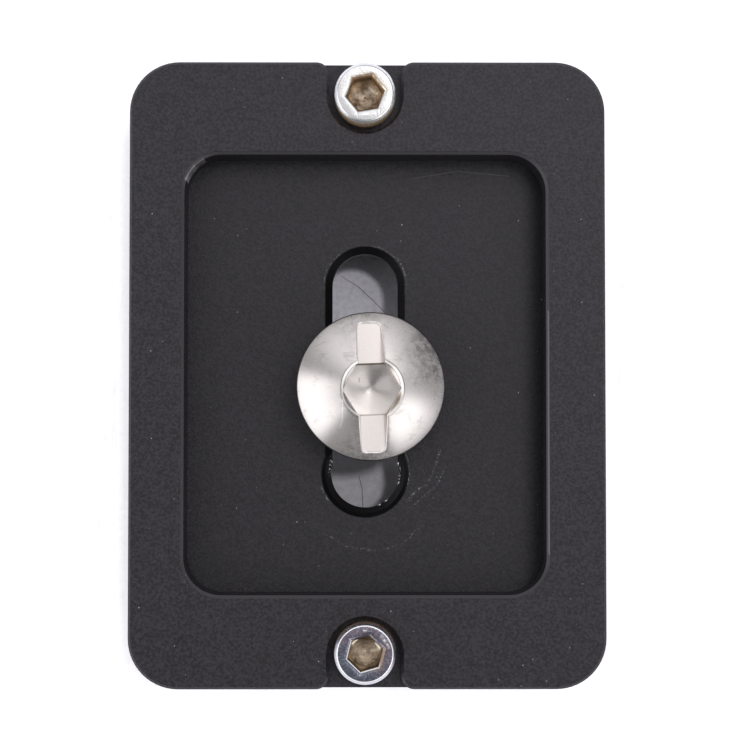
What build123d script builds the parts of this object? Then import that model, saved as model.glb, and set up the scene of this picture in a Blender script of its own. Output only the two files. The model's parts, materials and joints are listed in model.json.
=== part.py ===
from build123d import *
import math
import os

# Tripod quick release plate, lying underside up on its two rubber strips.
# X runs across the dovetail, Y along it and Z up. The ground is z = 0, and the plate is centred on X and Y.
# All sizes are in millimetres, and angles in degrees.

# Plate
plate_length = 50.0
plate_width = 38.0
plate_thickness = 10.0
plate_corner_radius = 4.0
plate_edge_break = 0.2

# How far the pocket, the slot and the safety screws sit off the plate's middle, across it
milling_offset = -0.18

# Dovetail along both long sides
dovetail_land = 1.3
dovetail_undercut = 3.0
dovetail_angle = 45.0
dovetail_waist = 0.8
dovetail_edge_radius = 0.15

# Pocket in the underside, which takes the head of the camera screw, with the rim left around it
pocket_end_rim = 7.43
pocket_side_rim = 4.56
pocket_depth = 3.5
pocket_corner_radius = 3.0
pocket_rim_chamfer = 0.27
pocket_rim_slope = 30.0

# Slot for the neck of the camera screw, with a tapped keyhole at its rear end
slot_front_reach = 7.3
slot_rear_reach = 8.0
slot_chamfer = 0.6
slot_neck_clearance = 0.475
ledge_thickness = 1.8
keyhole_thread_clearance = 0.05
keyhole_countersink = 0.36

# Camera screw
thread_diameter = 6.35
thread_shoulder = 0.975
thread_groove_clearance = 1.2
screw_protrusion = 4.8
screw_head_diameter = 11.7
screw_rim_height = 0.8
screw_rim_chamfer = 0.2
screw_dome_height = 2.2
screw_dome_edge_radius = 0.15
screw_tip_chamfer = 0.6
screw_shoulder_chamfer = 0.4
coin_slot_width = 1.8
coin_slot_end_wall = 0.81
coin_slot_offset = -0.11
coin_slot_end_depth = 0.2
coin_slot_corner_radius = 0.4
coin_slot_draft = 7.0
coin_slot_lip_radius = 0.1
hex_across_flats = 4.0
hex_depth_under_coin_slot = 0.45
hex_floor_angle = 150.0
hex_countersink_diameter = 4.9
hex_countersink_angle = 110.0
hex_offset = -0.24

# Where the loose camera screw rests in its slot: on its tip, drawn back under the ledge and leaning
screw_rest_x = 0.07
screw_rest_y = -1.04
screw_turn = 2.3
screw_lean = 3.5
tip_ground_clearance = 0.05
shoulder_ledge_clearance = 0.1

# Safety screws, one in a U-shaped notch at each end
safety_screw_inset = 2.7
safety_rear_shift = 0.22
safety_head_diameter = 4.9
safety_head_height = 2.5
safety_head_bevel_width = 0.25
safety_head_bevel_height = 0.28
safety_shank_diameter = 3.0
safety_shank_length = 5.0
safety_tip_chamfer = 0.4
safety_hex_across_flats = 2.5
safety_hex_depth = 1.6
safety_hex_chamfer = 0.22
safety_front_turn = 9.5
safety_rear_turn = 16.0
notch_clearance = 0.45
notch_depth = 1.4
notch_mouth_radius = 1.0
tapped_hole_clearance = 0.05
tapped_hole_spare_depth = 0.8
drill_point_angle = 118.0

# Rubber grip strips, let into the camera side
strip_width = 5.0
strip_end_inset = 5.0
strip_side_inset = 4.0
strip_recess_depth = 0.8
strip_proud = 0.4
strip_edge_break = 0.15
strip_clearance = 0.05

# Two points closer than this are the same point
match_tolerance = 0.001

# Sizes that follow from the ones above
neck_diameter = thread_diameter - 2 * thread_shoulder
slot_width = neck_diameter + 2 * slot_neck_clearance
slot_length = slot_front_reach + slot_rear_reach
groove_width = thread_diameter + 2 * thread_groove_clearance
pocket_width = plate_width - 2 * pocket_side_rim
pocket_length = plate_length - 2 * pocket_end_rim
safety_y = plate_length / 2 - safety_screw_inset
strip_length = plate_length - 2 * strip_end_inset
strip_x = plate_width / 2 - strip_side_inset - strip_width / 2
coin_slot_reach = screw_head_diameter / 2 - coin_slot_end_wall

# Heights above the ground
deck_z = strip_proud
underside_z = deck_z + plate_thickness
pocket_floor_z = underside_z - pocket_depth
ledge_z = pocket_floor_z - ledge_thickness
notch_floor_z = underside_z - notch_depth
strip_seat_z = deck_z + strip_recess_depth

# Lengths of the camera screw from its tip, with room for its lean at the ground and under the ledge
lean = math.radians(screw_lean)
tip_radius = thread_diameter / 2 - screw_tip_chamfer
shoulder_radius = thread_diameter / 2 - screw_shoulder_chamfer
tip_z = tip_ground_clearance + tip_radius * math.sin(lean)
thread_length = ledge_z - tip_z - shoulder_radius * math.sin(lean) - shoulder_ledge_clearance
shank_length = pocket_floor_z - deck_z + screw_protrusion
screw_length = shank_length + screw_rim_height + screw_dome_height


def near(position):
    """Lowest and highest position that count as the given one."""
    return position - match_tolerance, position + match_tolerance


def hexagon(across_flats, turn):
    """Hexagon about the origin, with one corner turned from the X axis."""
    return RegularPolygon(across_flats / 2, 6, major_radius=False, rotation=turn)


def drill_point(diameter, angle):
    """Cone that a drill leaves, with its base on the XY plane and its tip below."""
    depth = diameter / 2 / math.tan(math.radians(angle / 2))
    return Pos(0, 0, -depth / 2) * Cone(0, diameter / 2, depth)


def slot_outline(width):
    """Round-ended outline along the screw slot, from its front end to its rear end."""
    middle = (slot_front_reach - slot_rear_reach) / 2
    return Pos(0, middle) * SlotCenterToCenter(slot_length, width, rotation=90)


def strip_outline(clearance):
    """Round-ended outline of a grip strip, or of its recess, about the origin."""
    return SlotCenterToCenter(strip_length - strip_width, strip_width + 2 * clearance, rotation=90)


def dovetail_prism():
    """The plate's section across the dovetail, drawn out along its length."""
    half = plate_width / 2
    waist = half - dovetail_undercut
    flank_top = underside_z - dovetail_land
    flank_foot = flank_top - dovetail_undercut * math.tan(math.radians(dovetail_angle))
    shoulder = flank_foot - dovetail_waist
    right = [
        (half, underside_z),
        (half, flank_top),
        (waist, flank_foot),
        (waist, shoulder),
        (half, shoulder),
        (half, deck_z),
    ]
    left = [(-x, z) for x, z in reversed(right)]
    section = make_face(Polyline(*right, *left, close=True))
    above_shoulder = section.vertices().filter_by_position(Axis.Y, near(shoulder)[0], near(flank_top)[1])
    section = fillet(above_shoulder, dovetail_edge_radius)
    return extrude(Plane.XZ * section, amount=plate_length / 2, both=True)


def notch_outline():
    """U-shaped notch about the front safety screw, with a rounded mouth."""
    radius = safety_head_diameter / 2 + notch_clearance
    end = plate_length / 2
    beyond = 2 * notch_mouth_radius
    channel = Pos(0, (safety_y + end) / 2) * Rectangle(2 * radius, end - safety_y)
    outside = Pos(0, end + beyond / 2) * Rectangle(2 * radius + 2 * beyond, beyond)
    notch = Pos(0, safety_y) * Circle(radius) + channel + outside
    at_end = notch.vertices().filter_by_position(Axis.Y, *near(end))
    mouth = at_end.filter_by_position(Axis.X, near(-radius)[0], near(radius)[1])
    return fillet(mouth, notch_mouth_radius)


def safety_screw_seat(shift):
    """Notch and tapped blind hole for the front safety screw, the hole shifted towards the plate's middle."""
    notch = extrude(Pos(0, 0, notch_floor_z) * notch_outline(), amount=2 * notch_depth)
    bore = safety_shank_diameter + 2 * tapped_hole_clearance
    depth = safety_shank_length + tapped_hole_spare_depth
    hole = Cylinder(bore / 2, depth) + Pos(0, 0, -depth / 2) * drill_point(bore, drill_point_angle)
    return notch + Pos(0, safety_y - shift, notch_floor_z - depth / 2) * hole


def pocket():
    """Pocket with a chamfered rim."""
    outline = RectangleRounded(pocket_width, pocket_length, pocket_corner_radius)
    rim_outline = RectangleRounded(
        pocket_width + 2 * pocket_rim_chamfer,
        pocket_length + 2 * pocket_rim_chamfer,
        pocket_corner_radius + pocket_rim_chamfer,
    )
    well = extrude(Pos(0, 0, pocket_floor_z) * outline, amount=pocket_depth)
    rim_depth = pocket_rim_chamfer * math.tan(math.radians(pocket_rim_slope))
    rim = extrude(Pos(0, 0, underside_z) * rim_outline, amount=-rim_depth, taper=90 - pocket_rim_slope)
    return well + rim


def screw_slot():
    """Chamfered slot, tapped keyhole, and the wide groove that the thread draws back into."""
    mouth = Pos(0, 0, pocket_floor_z) * slot_outline(slot_width + 2 * slot_chamfer)
    neck_way = Pos(0, 0, deck_z) * slot_outline(slot_width)
    thread_way = Pos(0, 0, deck_z) * slot_outline(groove_width)
    slot = extrude(mouth, amount=-slot_chamfer, taper=45)
    slot += extrude(neck_way, amount=pocket_floor_z - deck_z)
    slot += extrude(thread_way, amount=ledge_z - deck_z)
    bore = thread_diameter / 2 + keyhole_thread_clearance
    keyhole = Pos(0, 0, pocket_floor_z - ledge_thickness / 2) * Cylinder(bore, ledge_thickness)
    countersink = Cone(bore, bore + keyhole_countersink, keyhole_countersink)
    keyhole += Pos(0, 0, pocket_floor_z - keyhole_countersink / 2) * countersink
    return slot + Pos(0, -slot_rear_reach) * keyhole


def plate_body():
    """Milled plate with its dovetail, safety screw seats, pocket, screw slot and strip recesses."""
    outline = RectangleRounded(plate_width, plate_length, plate_corner_radius)
    body = dovetail_prism() & extrude(outline, amount=underside_z)
    for turn, shift in ((0, 0), (180, safety_rear_shift)):
        body -= Pos(milling_offset) * Rot(0, 0, turn) * safety_screw_seat(shift)
    by_height = body.faces().sort_by(Axis.Z)
    outer_edges = by_height[-1].outer_wire().edges() + by_height[0].outer_wire().edges()
    body = chamfer(outer_edges, plate_edge_break)
    body -= Pos(milling_offset) * pocket()
    body -= Pos(milling_offset) * screw_slot()
    for side in (-1, 1):
        recess = Pos(side * strip_x, 0, deck_z) * strip_outline(strip_clearance)
        body -= extrude(recess, amount=strip_recess_depth)
    return body


def dome_z(radius):
    """Height of the screw's dome above its tip, at a radius from its axis."""
    rim = screw_head_diameter / 2
    dome_radius = (rim**2 + screw_dome_height**2) / (2 * screw_dome_height)
    return screw_length - dome_radius + math.sqrt(dome_radius**2 - radius**2)


def turned_screw():
    """The camera screw as it leaves the lathe, upright with its tip at the origin."""
    thread_r = thread_diameter / 2
    neck_r = neck_diameter / 2
    head_r = screw_head_diameter / 2
    rim_z = shank_length + screw_rim_height
    side = Polyline(
        (0, screw_length),
        (0, 0),
        (tip_radius, 0),
        (thread_r, screw_tip_chamfer),
        (thread_r, thread_length - screw_shoulder_chamfer),
        (shoulder_radius, thread_length),
        (neck_r, thread_length),
        (neck_r, shank_length),
        (head_r - screw_rim_chamfer, shank_length),
        (head_r, shank_length + screw_rim_chamfer),
        (head_r, rim_z),
    )
    dome = ThreePointArc(side @ 1, (head_r / 2, dome_z(head_r / 2)), side @ 0)
    blank = revolve(Plane.XZ * make_face(side + dome), Axis.Z)
    return fillet(blank.edges().filter_by_position(Axis.Z, *near(rim_z)), screw_dome_edge_radius)


def coin_slot_floor_z():
    """Height of the coin slot's floor above the screw's tip."""
    return dome_z(coin_slot_reach) - coin_slot_end_depth


def coin_slot():
    """What the coin slot takes out of the upright screw, with a floor that just clears its ends."""
    floor_z = coin_slot_floor_z()
    outline = RectangleRounded(
        coin_slot_width, 2 * coin_slot_reach, coin_slot_corner_radius, rotation=screw_turn
    )
    outline = Pos(0, coin_slot_offset, floor_z) * outline
    return extrude(outline, amount=2 * (screw_length - floor_z), taper=-coin_slot_draft)


def hex_socket():
    """What the hex socket takes out of the upright screw, with its countersunk mouth and hollow floor."""
    floor_z = coin_slot_floor_z() - hex_depth_under_coin_slot
    outline = Pos(0, 0, floor_z) * hexagon(hex_across_flats, screw_turn)
    socket = extrude(outline, amount=screw_length - floor_z)
    socket += Pos(0, 0, floor_z) * drill_point(hex_across_flats, hex_floor_angle)
    mouth_z = dome_z(hex_countersink_diameter / 2)
    spread = math.tan(math.radians(hex_countersink_angle / 2))
    top_diameter = hex_countersink_diameter + 2 * (screw_length - mouth_z) * spread
    socket += Pos(0, 0, screw_length) * drill_point(top_diameter, hex_countersink_angle)
    return Pos(0, hex_offset) * socket


def on_dome(vertex):
    """True where a vertex of the upright screw lies on its dome, inside the rim."""
    radius = math.hypot(vertex.X, vertex.Y)
    inside = radius < coin_slot_reach + coin_slot_end_wall / 2
    return inside and abs(vertex.Z - dome_z(radius)) < match_tolerance


def camera_screw():
    """The camera screw at its place of rest, leaning where its neck crosses the ledge."""
    screw = turned_screw() - coin_slot()
    lip = [edge for edge in screw.edges() if all(on_dome(vertex) for vertex in edge.vertices())]
    screw = fillet(lip, coin_slot_lip_radius) - hex_socket()
    ledge_middle = ledge_z + ledge_thickness / 2
    tip_x = milling_offset + screw_rest_x - (ledge_middle - tip_z) * math.tan(lean)
    return Pos(tip_x, screw_rest_y, tip_z) * Rot(0, screw_lean, 0) * screw


def safety_screw(side, shift, turn):
    """Socket cap screw in the notch at one end, shifted inwards: side is 1 at the front and -1 at the rear."""
    shank = Pos(0, 0, -safety_shank_length / 2) * Cylinder(safety_shank_diameter / 2, safety_shank_length)
    shank = chamfer(shank.edges().sort_by(Axis.Z)[0], safety_tip_chamfer)
    head_r = safety_head_diameter / 2
    side_height = safety_head_height - safety_head_bevel_height
    bevel = Cone(head_r, head_r - safety_head_bevel_width, safety_head_bevel_height)
    head = Pos(0, 0, side_height / 2) * Cylinder(head_r, side_height)
    head += Pos(0, 0, side_height + safety_head_bevel_height / 2) * bevel
    socket_floor = Pos(0, 0, safety_head_height - safety_hex_depth)
    socket = extrude(socket_floor * hexagon(safety_hex_across_flats, turn), amount=safety_hex_depth)
    socket += socket_floor * drill_point(safety_hex_across_flats, drill_point_angle)
    mouth = hexagon(safety_hex_across_flats + 2 * safety_hex_chamfer, turn)
    socket += extrude(Pos(0, 0, safety_head_height) * mouth, amount=-safety_hex_chamfer, taper=45)
    return Pos(milling_offset, side * (safety_y - shift), notch_floor_z) * (head + shank - socket)


def grip_strip(side):
    """Rubber strip in its recess: side is 1 to the right and -1 to the left."""
    strip = extrude(strip_outline(0), amount=strip_seat_z)
    strip = chamfer(strip.faces().sort_by(Axis.Z)[0].edges(), strip_edge_break)
    return Pos(side * strip_x, 0) * strip


def main():
    """Write each piece of the plate to its own file."""
    pieces = {
        "plate_body": plate_body(),
        "camera_screw": camera_screw(),
        "safety_screw_front": safety_screw(1, 0, safety_front_turn),
        "safety_screw_rear": safety_screw(-1, safety_rear_shift, safety_rear_turn),
        "grip_strip_left": grip_strip(-1),
        "grip_strip_right": grip_strip(1),
    }
    os.makedirs("parts", exist_ok=True)
    for name, piece in pieces.items():
        piece.label = name
        export_step(piece, f"parts/{name}.step")


main()
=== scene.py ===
"""The tripod quick release plate, dressed for its picture.

The frame gives each piece its shape and place. This script cuts the threads that the solids leave plain,
gives each piece its finish, and sets up the floor, the light and the camera.
"""

import json
import logging
import math
from abc import ABC, abstractmethod
from dataclasses import dataclass
from enum import Enum
from typing import Any, ClassVar, Union

import bmesh
import bpy
from mathutils import Euler, Matrix, Vector


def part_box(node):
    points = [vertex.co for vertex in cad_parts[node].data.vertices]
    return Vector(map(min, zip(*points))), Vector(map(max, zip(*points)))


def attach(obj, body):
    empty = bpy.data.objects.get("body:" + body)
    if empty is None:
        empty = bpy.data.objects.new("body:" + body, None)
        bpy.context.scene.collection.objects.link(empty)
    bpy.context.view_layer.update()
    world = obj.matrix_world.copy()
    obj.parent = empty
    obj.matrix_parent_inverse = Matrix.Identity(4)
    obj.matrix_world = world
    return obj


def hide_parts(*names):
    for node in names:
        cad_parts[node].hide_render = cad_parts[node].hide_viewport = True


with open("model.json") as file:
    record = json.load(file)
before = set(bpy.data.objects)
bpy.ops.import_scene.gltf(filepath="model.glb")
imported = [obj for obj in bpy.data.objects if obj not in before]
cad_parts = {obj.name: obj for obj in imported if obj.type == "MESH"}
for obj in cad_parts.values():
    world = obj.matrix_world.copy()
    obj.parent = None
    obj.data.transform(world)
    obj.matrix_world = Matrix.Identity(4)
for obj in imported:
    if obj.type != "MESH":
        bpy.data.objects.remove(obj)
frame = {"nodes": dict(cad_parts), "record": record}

LOG = logging.getLogger("quick_release_plate")
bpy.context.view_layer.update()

MM = 0.001
MERGE_DISTANCE = 1e-7
SHARP_ANGLE = math.radians(32.0)
FLAT_ANGLE = math.radians(0.5)
QUARTER_TURN = 0.25

# The camera screw and the keyhole share one thread, with 20 turns to the inch.
THREAD_PITCH = 1.27 * MM
FLANK_ANGLE = math.radians(30.0)

# The middles of the round ends of the slot, in millimetres.
KEYHOLE = (-0.18, -8.0)
SLOT_FRONT = (-0.18, 7.3)

Socket = bpy.types.NodeSocket
Feed = Union[Socket, float, tuple[float, ...], Vector, Euler]
Colour = tuple[float, float, float]


class Body(Enum):
    """Bodies of the frame that the pieces ride on."""

    PLATE = "plate"
    SCREW = "screw"


class Slot(Enum):
    """Material slots of the record."""

    BLACK_ANODISED = "black_anodised"
    SATIN_STAINLESS = "satin_stainless"
    NICKEL_PLATE = "nickel_plate"
    GRIP_RUBBER = "grip_rubber"


class End(Enum):
    """The two ends of the plate, by the sign of Y."""

    FRONT = 1
    REAR = -1


class NodeWriter:
    """Adds nodes to one shader node tree, and feeds each input with a link or a constant."""

    def __init__(self, tree: bpy.types.NodeTree) -> None:
        """Write into the given tree."""
        self.tree = tree

    def feed(self, socket: Socket, value: Feed) -> None:
        """Link an input to an output, or set it to a constant."""
        if isinstance(value, Socket):
            self.tree.links.new(value, socket)
        else:
            socket.default_value = value

    def add(self, kind: str, inputs: dict[str | int, Feed] | None = None, **settings: Any) -> bpy.types.Node:
        """Add one node.

        Args:
            kind: The node's type name.
            inputs: What each input takes, by the input's name or number.
            settings: The node's own properties.

        Returns:
            The new node.
        """
        node = self.tree.nodes.new(kind)
        for name, setting in settings.items():
            setattr(node, name, setting)
        for key, value in (inputs or {}).items():
            self.feed(node.inputs[key], value)
        return node

    def math(self, operation: str, *values: Feed) -> Socket:
        """The result of one Math node."""
        return self.add("ShaderNodeMath", dict(enumerate(values)), operation=operation).outputs[0]

    def product(self, first: Feed, *others: Feed) -> Socket:
        """All values multiplied."""
        for other in others:
            first = self.math("MULTIPLY", first, other)
        return first

    def largest(self, first: Feed, *others: Feed) -> Socket:
        """The largest of all values."""
        for other in others:
            first = self.math("MAXIMUM", first, other)
        return first

    def vector_math(self, operation: str, *values: Feed) -> Socket:
        """The vector that one Vector Math node gives."""
        node = self.add("ShaderNodeVectorMath", dict(enumerate(values)), operation=operation)
        return node.outputs["Vector"]

    def length(self, vector: Feed) -> Socket:
        """The length of a vector."""
        return self.add("ShaderNodeVectorMath", {0: vector}, operation="LENGTH").outputs["Value"]

    def from_axis(self, place: Feed) -> Socket:
        """How far a place lies from the Z axis."""
        return self.length(self.vector_math("MULTIPLY", place, (1.0, 1.0, 0.0)))

    def dot(self, first: Feed, second: Feed) -> Socket:
        """The dot product of two vectors."""
        node = self.add("ShaderNodeVectorMath", {0: first, 1: second}, operation="DOT_PRODUCT")
        return node.outputs["Value"]

    def split(self, vector: Feed) -> tuple[Socket, Socket, Socket]:
        """The three parts of a vector."""
        outputs = self.add("ShaderNodeSeparateXYZ", {0: vector}).outputs
        return outputs["X"], outputs["Y"], outputs["Z"]

    def join(self, x: Feed, y: Feed, z: Feed) -> Socket:
        """A vector from its three parts."""
        return self.add("ShaderNodeCombineXYZ", {0: x, 1: y, 2: z}).outputs[0]

    def step(self, value: Feed, low: Feed, high: Feed, start: Feed = 0.0, end: Feed = 1.0) -> Socket:
        """A smooth step.

        Args:
            value: What is stepped.
            low: Where the step starts.
            high: Where it ends, which may be below low.
            start: The result before the step.
            end: The result after it.

        Returns:
            The stepped value.
        """
        inputs = {"Value": value, "From Min": low, "From Max": high, "To Min": start, "To Max": end}
        return self.add("ShaderNodeMapRange", inputs, interpolation_type="SMOOTHSTEP").outputs["Result"]

    def scale_to(self, value: Feed, start: Feed, end: Feed) -> Socket:
        """A value from 0 to 1, spread evenly from start to end."""
        inputs = {"Value": value, "To Min": start, "To Max": end}
        return self.add("ShaderNodeMapRange", inputs).outputs["Result"]

    def around(self, value: Feed, middle: float, spread: float) -> Socket:
        """A value from 0 to 1, spread evenly about a middle."""
        return self.scale_to(value, middle - spread, middle + spread)

    def mix(self, factor: Feed, first: Feed, second: Feed) -> Socket:
        """A colour between two others."""
        inputs = {0: factor, 6: opaque(first), 7: opaque(second)}
        return self.add("ShaderNodeMix", inputs, data_type="RGBA").outputs[2]

    def noise(self, vector: Feed, scale: Feed, detail: float = 2.0, roughness: float = 0.5) -> Socket:
        """Smooth noise from 0 to 1."""
        inputs = {"Vector": vector, "Scale": scale, "Detail": detail, "Roughness": roughness}
        return self.add("ShaderNodeTexNoise", inputs).outputs[0]

    def object_place(self) -> Socket:
        """The place on the piece, in the frame."""
        return self.add("ShaderNodeTexCoord").outputs["Object"]

    def seen_from(self, place: Feed, centre: Feed, turn: Feed = (0.0, 0.0, 0.0)) -> Socket:
        """A place, measured from a centre that may be turned."""
        inputs = {"Vector": place, "Location": centre, "Rotation": turn}
        return self.add("ShaderNodeMapping", inputs, vector_type="TEXTURE").outputs[0]

    def within(self, place: Feed, reach: tuple[float, float], fade: float) -> Socket:
        """A mask that is 1 within a reach of the Z axis, along X and along Y, and fades at its ends."""
        x, y, _ = self.split(place)
        sides = zip((x, y), reach)
        return self.product(*(self.step(self.math("ABSOLUTE", side), far, far - fade) for side, far in sides))

    def bump(self, height: Feed, depth: float) -> Socket:
        """The normal of a height map, whose height of 1 stands a depth above the surface."""
        return self.add("ShaderNodeBump", {"Height": height, "Distance": depth}).outputs[0]


def opaque(colour: Feed) -> Feed:
    """A colour with its alpha, or the socket that gives one."""
    return (*colour, 1.0) if isinstance(colour, tuple) and len(colour) == 3 else colour


def dimmed(colour: Colour, share: float) -> Colour:
    """A colour at a share of its brightness."""
    return tuple(channel * share for channel in colour)


def direction(azimuth: float, elevation: float) -> Vector:
    """The direction of an azimuth and an elevation in degrees."""
    level = math.cos(math.radians(elevation))
    turn = math.radians(azimuth)
    return Vector((level * math.cos(turn), level * math.sin(turn), math.sin(math.radians(elevation))))


@dataclass(frozen=True)
class Sector:
    """A stretch around the Z axis, in degrees: its middle, how far it reaches each way, and its strength."""

    azimuth: float
    reach: float
    strength: float = 1.0

    def mask(self, writer: NodeWriter, place: Socket, radius: Socket) -> Socket:
        """A mask that is full over the inner half of the stretch and fades towards its ends."""
        share = writer.math("DIVIDE", writer.dot(place, direction(self.azimuth, 0.0)), radius)
        reach = math.radians(self.reach)
        return writer.product(writer.step(share, math.cos(reach), math.cos(reach / 2)), self.strength)


class Effect(ABC):
    """A shader node group that finishes share, built at its first use."""

    title: ClassVar[str]
    vectors: ClassVar[tuple[str, ...]] = ("Vector",)
    values: ClassVar[tuple[str, ...]] = ()
    result: ClassVar[str] = "Mask"

    @classmethod
    @abstractmethod
    def write(cls, writer: NodeWriter, given: Any) -> Socket:
        """Write the nodes between the group's inputs and its output.

        Args:
            writer: Writes into the group's tree.
            given: The sockets of the group's inputs, by name.

        Returns:
            The socket that the group puts out.
        """

    @classmethod
    def group(cls) -> bpy.types.NodeTree:
        """The effect's node group."""
        known = bpy.data.node_groups.get(cls.title)
        if known:
            return known
        tree = bpy.data.node_groups.new(cls.title, "ShaderNodeTree")
        for name in cls.vectors:
            tree.interface.new_socket(name, in_out="INPUT", socket_type="NodeSocketVector")
        for name in cls.values:
            tree.interface.new_socket(name, in_out="INPUT", socket_type="NodeSocketFloat")
        tree.interface.new_socket(cls.result, in_out="OUTPUT", socket_type="NodeSocketFloat")
        writer = NodeWriter(tree)
        given = writer.add("NodeGroupInput").outputs
        writer.add("NodeGroupOutput", {cls.result: cls.write(writer, given)})
        return tree

    @classmethod
    def on(cls, writer: NodeWriter, vector: Feed, **values: Feed) -> Socket:
        """Place the effect in a material.

        Args:
            writer: Writes into the material's tree.
            vector: The place on the piece.
            values: The group's other inputs, by name.

        Returns:
            The effect's output.
        """
        node = writer.add("ShaderNodeGroup", node_tree=cls.group())
        writer.feed(node.inputs["Vector"], vector)
        for name, value in values.items():
            writer.feed(node.inputs[name], value)
        return node.outputs[cls.result]


class FineGrain(Effect):
    """Fine grain with some coarser unevenness, from 0 to 1."""

    title = "fine_grain"
    values = ("Scale",)
    result = "Height"
    coarse_scale: ClassVar[float] = 0.3
    coarse_share: ClassVar[float] = 0.15

    @classmethod
    def write(cls, writer: NodeWriter, given: Any) -> Socket:
        """See Effect.write."""
        fine = writer.noise(given["Vector"], given["Scale"], detail=3.0, roughness=0.6)
        coarse = writer.noise(given["Vector"], writer.product(given["Scale"], cls.coarse_scale))
        share = writer.product(coarse, cls.coarse_share)
        return writer.math("MULTIPLY_ADD", fine, 1.0 - cls.coarse_share, share)


class DustSpecks(Effect):
    """Sparse specks, few of them bright: a mask that is up to 1 on a speck."""

    title = "dust_specks"
    values = ("Scale", "Size")
    wobble_scale: ClassVar[float] = 14.0
    least_size: ClassVar[float] = 0.4
    largest_size: ClassVar[float] = 1.6
    core_share: ClassVar[float] = 0.45
    rarity: ClassVar[float] = 3.0

    @classmethod
    def write(cls, writer: NodeWriter, given: Any) -> Socket:
        """See Effect.write."""
        cells = writer.add("ShaderNodeTexVoronoi", {"Vector": given["Vector"], "Scale": given["Scale"]})
        wobble = writer.noise(given["Vector"], writer.product(given["Scale"], cls.wobble_scale))
        size = writer.product(given["Size"], writer.scale_to(wobble, cls.least_size, cls.largest_size))
        speck = writer.step(cells.outputs["Distance"], size, writer.product(size, cls.core_share))
        chance, _, _ = writer.split(cells.outputs["Color"])
        return writer.product(speck, writer.math("POWER", chance, cls.rarity))


class FineScratches(Effect):
    """Fine broken scratches that run along Y: a mask that is 1 on a scratch."""

    title = "fine_scratches"
    values = ("Scale", "Width")
    squeeze: ClassVar[tuple[float, float, float]] = (1.0, 0.06, 1.0)
    patch_scale: ClassVar[float] = 0.35

    @classmethod
    def write(cls, writer: NodeWriter, given: Any) -> Socket:
        """See Effect.write."""
        drawn_out = writer.vector_math("MULTIPLY", given["Vector"], cls.squeeze)
        lines = writer.noise(drawn_out, given["Scale"], detail=1.0)
        off_line = writer.math("ABSOLUTE", writer.math("SUBTRACT", lines, 0.5))
        line = writer.step(off_line, given["Width"], 0.0)
        patches = writer.noise(given["Vector"], writer.product(given["Scale"], cls.patch_scale))
        return writer.product(line, writer.step(patches, 0.5, 0.68))


class RubArc(Effect):
    """A broken rub mark along an arc about the Z axis: a mask that is 1 on the mark."""

    title = "rub_arc"
    values = ("Radius", "Width", "Middle", "Spread", "Grain")
    wander_scale: ClassVar[float] = 620.0
    wander_reach: ClassVar[float] = 5.0
    full_share: ClassVar[float] = 0.6

    @classmethod
    def write(cls, writer: NodeWriter, given: Any) -> Socket:
        """See Effect.write."""
        x, y, _ = writer.split(given["Vector"])
        wander = writer.math("SUBTRACT", writer.noise(given["Vector"], cls.wander_scale, detail=3.0), 0.5)
        drift = writer.product(wander, given["Width"], cls.wander_reach)
        drifted = writer.math("ADD", writer.from_axis(given["Vector"]), drift)
        off_ring = writer.math("SUBTRACT", drifted, given["Radius"])
        ring = writer.step(writer.math("ABSOLUTE", off_ring), given["Width"], 0.0)
        turn = writer.math("SUBTRACT", writer.math("ARCTAN2", y, x), given["Middle"])
        off_middle = writer.math("ABSOLUTE", writer.math("WRAP", turn, math.pi, -math.pi))
        reach = writer.step(off_middle, given["Spread"], writer.product(given["Spread"], cls.full_share))
        broken = writer.step(writer.noise(given["Vector"], given["Grain"], detail=3.0), 0.52, 0.66)
        return writer.product(ring, reach, broken)


class HairLine(Effect):
    """One thin straight mark, seen along Z, from a start to an end: a mask that is 1 on the mark."""

    title = "hair_line"
    vectors = ("Vector", "Start", "End")
    values = ("Width",)

    @classmethod
    def write(cls, writer: NodeWriter, given: Any) -> Socket:
        """See Effect.write."""
        along = writer.vector_math("SUBTRACT", given["End"], given["Start"])
        level = writer.vector_math("MULTIPLY", given["Vector"], (1.0, 1.0, 0.0))
        out = writer.vector_math("SUBTRACT", level, given["Start"])
        share = writer.math("DIVIDE", writer.dot(out, along), writer.dot(along, along))
        held = writer.math("MINIMUM", writer.math("MAXIMUM", share, 0.0), 1.0)
        nearest = writer.vector_math("MULTIPLY", along, writer.join(held, held, held))
        away = writer.length(writer.vector_math("SUBTRACT", out, nearest))
        return writer.step(away, given["Width"], 0.0)


class HexDistance(Effect):
    """How far a place lies outside a hexagon about the Z axis, with two corners on X: below 0 inside."""

    title = "hex_distance"
    values = ("Half Width",)
    result = "Distance"

    @classmethod
    def write(cls, writer: NodeWriter, given: Any) -> Socket:
        """See Effect.write."""
        flats = (direction(azimuth, 0.0) for azimuth in (30.0, 90.0, 150.0))
        spans = [writer.math("ABSOLUTE", writer.dot(given["Vector"], flat)) for flat in flats]
        return writer.math("SUBTRACT", writer.largest(*spans), given["Half Width"])


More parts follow.
